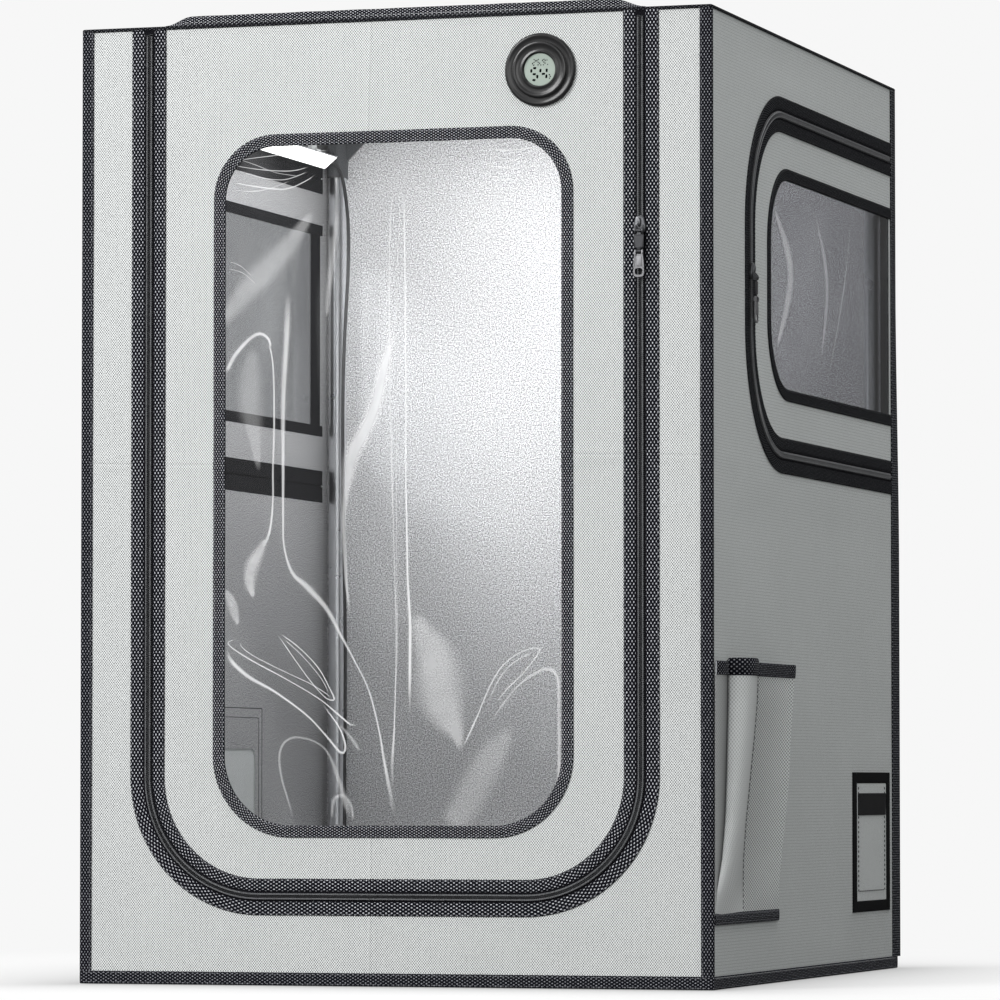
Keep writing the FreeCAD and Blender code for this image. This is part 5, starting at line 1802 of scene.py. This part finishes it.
# ---------------------------------------------------------------------------
# CAD pieces that keep their shape
# ---------------------------------------------------------------------------
KEPT = {"frame_posts": STEEL, "frame_width_rails": STEEL, "frame_depth_rails": STEEL,
        "frame_corner_connectors": CORNER_PLASTIC, "hygrometer_circuit_board": BOARD,
        "hygrometer_button_cells": CELL, "led_channel": CHANNEL, "led_diffuser": DIFFUSER,
        "led_strip": LIGHT_STRIP, "led_rail_clips": CLIP, "led_power_lead": CABLE}
for name, material in KEPT.items():
    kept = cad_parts[name]
    if not kept.material_slots:
        kept.data.materials.append(material)
    for slot in kept.material_slots:
        slot.material = material


# ---------------------------------------------------------------------------
# Floor, lights, world and camera, in metres
# ---------------------------------------------------------------------------
def floor_paint():
    """Light floor for the camera with a painted soft shadow round the base, darker to other
    rays;
    it fades to the backdrop far from the centre."""
    mat = Mat("floor paint")
    place = mat.node("TexCoord").outputs["Object"]
    cloud = mat.noise(place, scale=3.0, detail=3)
    camera_ray = mat.node("LightPath").outputs["Is Camera Ray"]
    x, y, _ = mat.split(place)
    out_x = mat.math("MAXIMUM", mat.sub(mat.absolute(x), 0.272), 0.0)
    out_y = mat.math("MAXIMUM", mat.sub(mat.absolute(y), 0.307), 0.0)
    distance = mat.math("SQRT", mat.add(mat.mul(out_x, out_x), mat.mul(out_y, out_y)))
    # painted shadow: darkening that fades with distance from the footprint
    shadow = mat.mul(0.34, mat.math("POWER", math.e, mat.math("DIVIDE", distance, -0.085)))
    paint = mat.mix(cloud, (0.25, 0.25, 0.25), (0.27, 0.27, 0.27))
    near = mat.principled(color=mat.mix(camera_ray, (0.16, 0.16, 0.16), paint), rough=0.8,
                          spec=0.0, emit=(1.0, 1.0, 1.0),
                          glow=mat.mul(camera_ray, mat.sub(0.69, shadow)))
    radius = mat.node("VectorMath", operation="LENGTH")
    mat.put(radius.inputs[0], place)
    far = mat.shader("Emission", Color=(0.93, 0.93, 0.93))
    fade = mat.mul(camera_ray, mat.remap(radius.outputs["Value"], low=0.43, high=0.95))
    return mat.finish(mat.mix_shader(fade, near, far))


floor_mesh = bpy.data.meshes.new("floor")
floor_mesh.from_pydata([(x, y, -0.0005) for x, y in rect(-40, -40, 40, 40)], [],
                       [(0, 1, 2, 3)])
floor = bpy.data.objects.new("floor", floor_mesh)
bpy.context.scene.collection.objects.link(floor)
floor_mesh.materials.append(floor_paint())


def light(name, kind, location, target=None, **settings):
    lamp = bpy.data.lights.new(name, kind)
    for key, value in settings.items():
        setattr(lamp, key, value)
    made = bpy.data.objects.new(name, lamp)
    made.location = location
    if target:
        aim = Vector(target) - Vector(location)
        made.rotation_euler = aim.to_track_quat("-Z", "Y").to_euler()
    bpy.context.scene.collection.objects.link(made)
    return made


light("key", "AREA", (-1.9, -2.9, 2.3), (0, 0, 0.45), size=1.5, energy=108)
light("front", "AREA", (0.35, -4.6, 1.5), (0.1, 0, 0.5), size=1.6, energy=34)
light("fill", "AREA", (3.0, -1.0, 2.2), (0.2, 0, 0.55), size=1.8, energy=12,
      color=(0.965, 1.0, 0.99))
light("over", "AREA", (0.6, 0.2, 4.2), (0.3, 0, 0), size=3.0, energy=100)
# two lamps inside the enclosure
chamber = light("chamber", "AREA", (0.0, 0.0, 0.775), shape="RECTANGLE", size=0.3,
                size_y=0.4, energy=2.4)
wash = light("wash", "SPOT", (0.05, -0.24, 0.60), (0.02, 0.31, 0.80), energy=19.0,
             spot_size=math.radians(116), spot_blend=1.0, shadow_soft_size=0.12)
for lamp in (chamber, wash):
    lamp.visible_camera = lamp.visible_glossy = False

# bright cards seen only in reflections: azimuth from the front (+ to the right), half
# width, lowest and highest z of the ray, brightness
CARDS = ((-0.55, 0.10, -0.30, 0.62, 1.6), (0.62, 0.16, -0.2, 0.7, 1.6),
         (-1.25, 0.20, -0.2, 0.8, 2.0))


def studio_world():
    world = bpy.data.worlds.new("studio")
    bpy.context.scene.world = world
    world.use_nodes = True
    sky = Nodes(world.node_tree, "OutputWorld")
    incoming = sky.split(sky.node("NewGeometry").outputs["Incoming"])
    x, y, z = (sky.mul(part, -1.0) for part in incoming)
    rays = sky.node("LightPath").outputs
    azimuth = sky.math("ARCTAN2", x, sky.mul(y, -1.0))
    cards = None
    for middle, half, low, high, power in CARDS:
        off = sky.absolute(sky.sub(azimuth, middle))
        across = sky.sub(1.0, sky.math("DIVIDE", off, half))
        across = sky.mul(sky.mul(across, 3.0, clamp=True), power)
        above = sky.mul(sky.sub(z, low), 10.0, clamp=True)
        below = sky.mul(sky.sub(high, z), 10.0, clamp=True)
        card = sky.mul(across, sky.mul(above, below))
        cards = card if cards is None else sky.add(cards, card)

    def switch(otherwise, value, flag):
        return sky.add(sky.mul(otherwise, sky.sub(1.0, flag)), sky.mul(value, flag))

    ambient = sky.add(0.20, sky.mul(sky.add(z, 0.4, clamp=True), 0.24))
    gloss = sky.add(sky.mul(ambient, 0.9), cards)
    color = switch(ambient, gloss, rays["Is Glossy Ray"])
    # the backdrop is darker when seen through the film
    through = sky.math("MINIMUM", rays["Transparent Depth"], 1.0)
    backdrop = sky.sub(0.93, sky.mul(through, 0.40))
    color = switch(color, backdrop, rays["Is Camera Ray"])
    background = sky.shader("Background", Color=sky.vec(color, color, color), Strength=1.0)
    sky.put(sky.out.inputs[0], background)


studio_world()

lens = bpy.data.cameras.new("camera")
lens.sensor_width, lens.lens, lens.clip_end = 36.0, 212.93, 100.0
camera = bpy.data.objects.new("camera", lens)
yaw, pitch = math.radians(17.6965), math.radians(2.7418)
camera.location = (1.56482, -4.91959, 0.16685)
forward = Vector((-math.sin(yaw) * math.cos(pitch), math.cos(yaw) * math.cos(pitch),
                  math.sin(pitch)))
camera.rotation_euler = forward.to_track_quat("-Z", "Y").to_euler()
bpy.context.scene.collection.objects.link(camera)
bpy.context.scene.camera = camera
bpy.context.scene.view_settings.view_transform = "Standard"

bpy.context.view_layer.update()
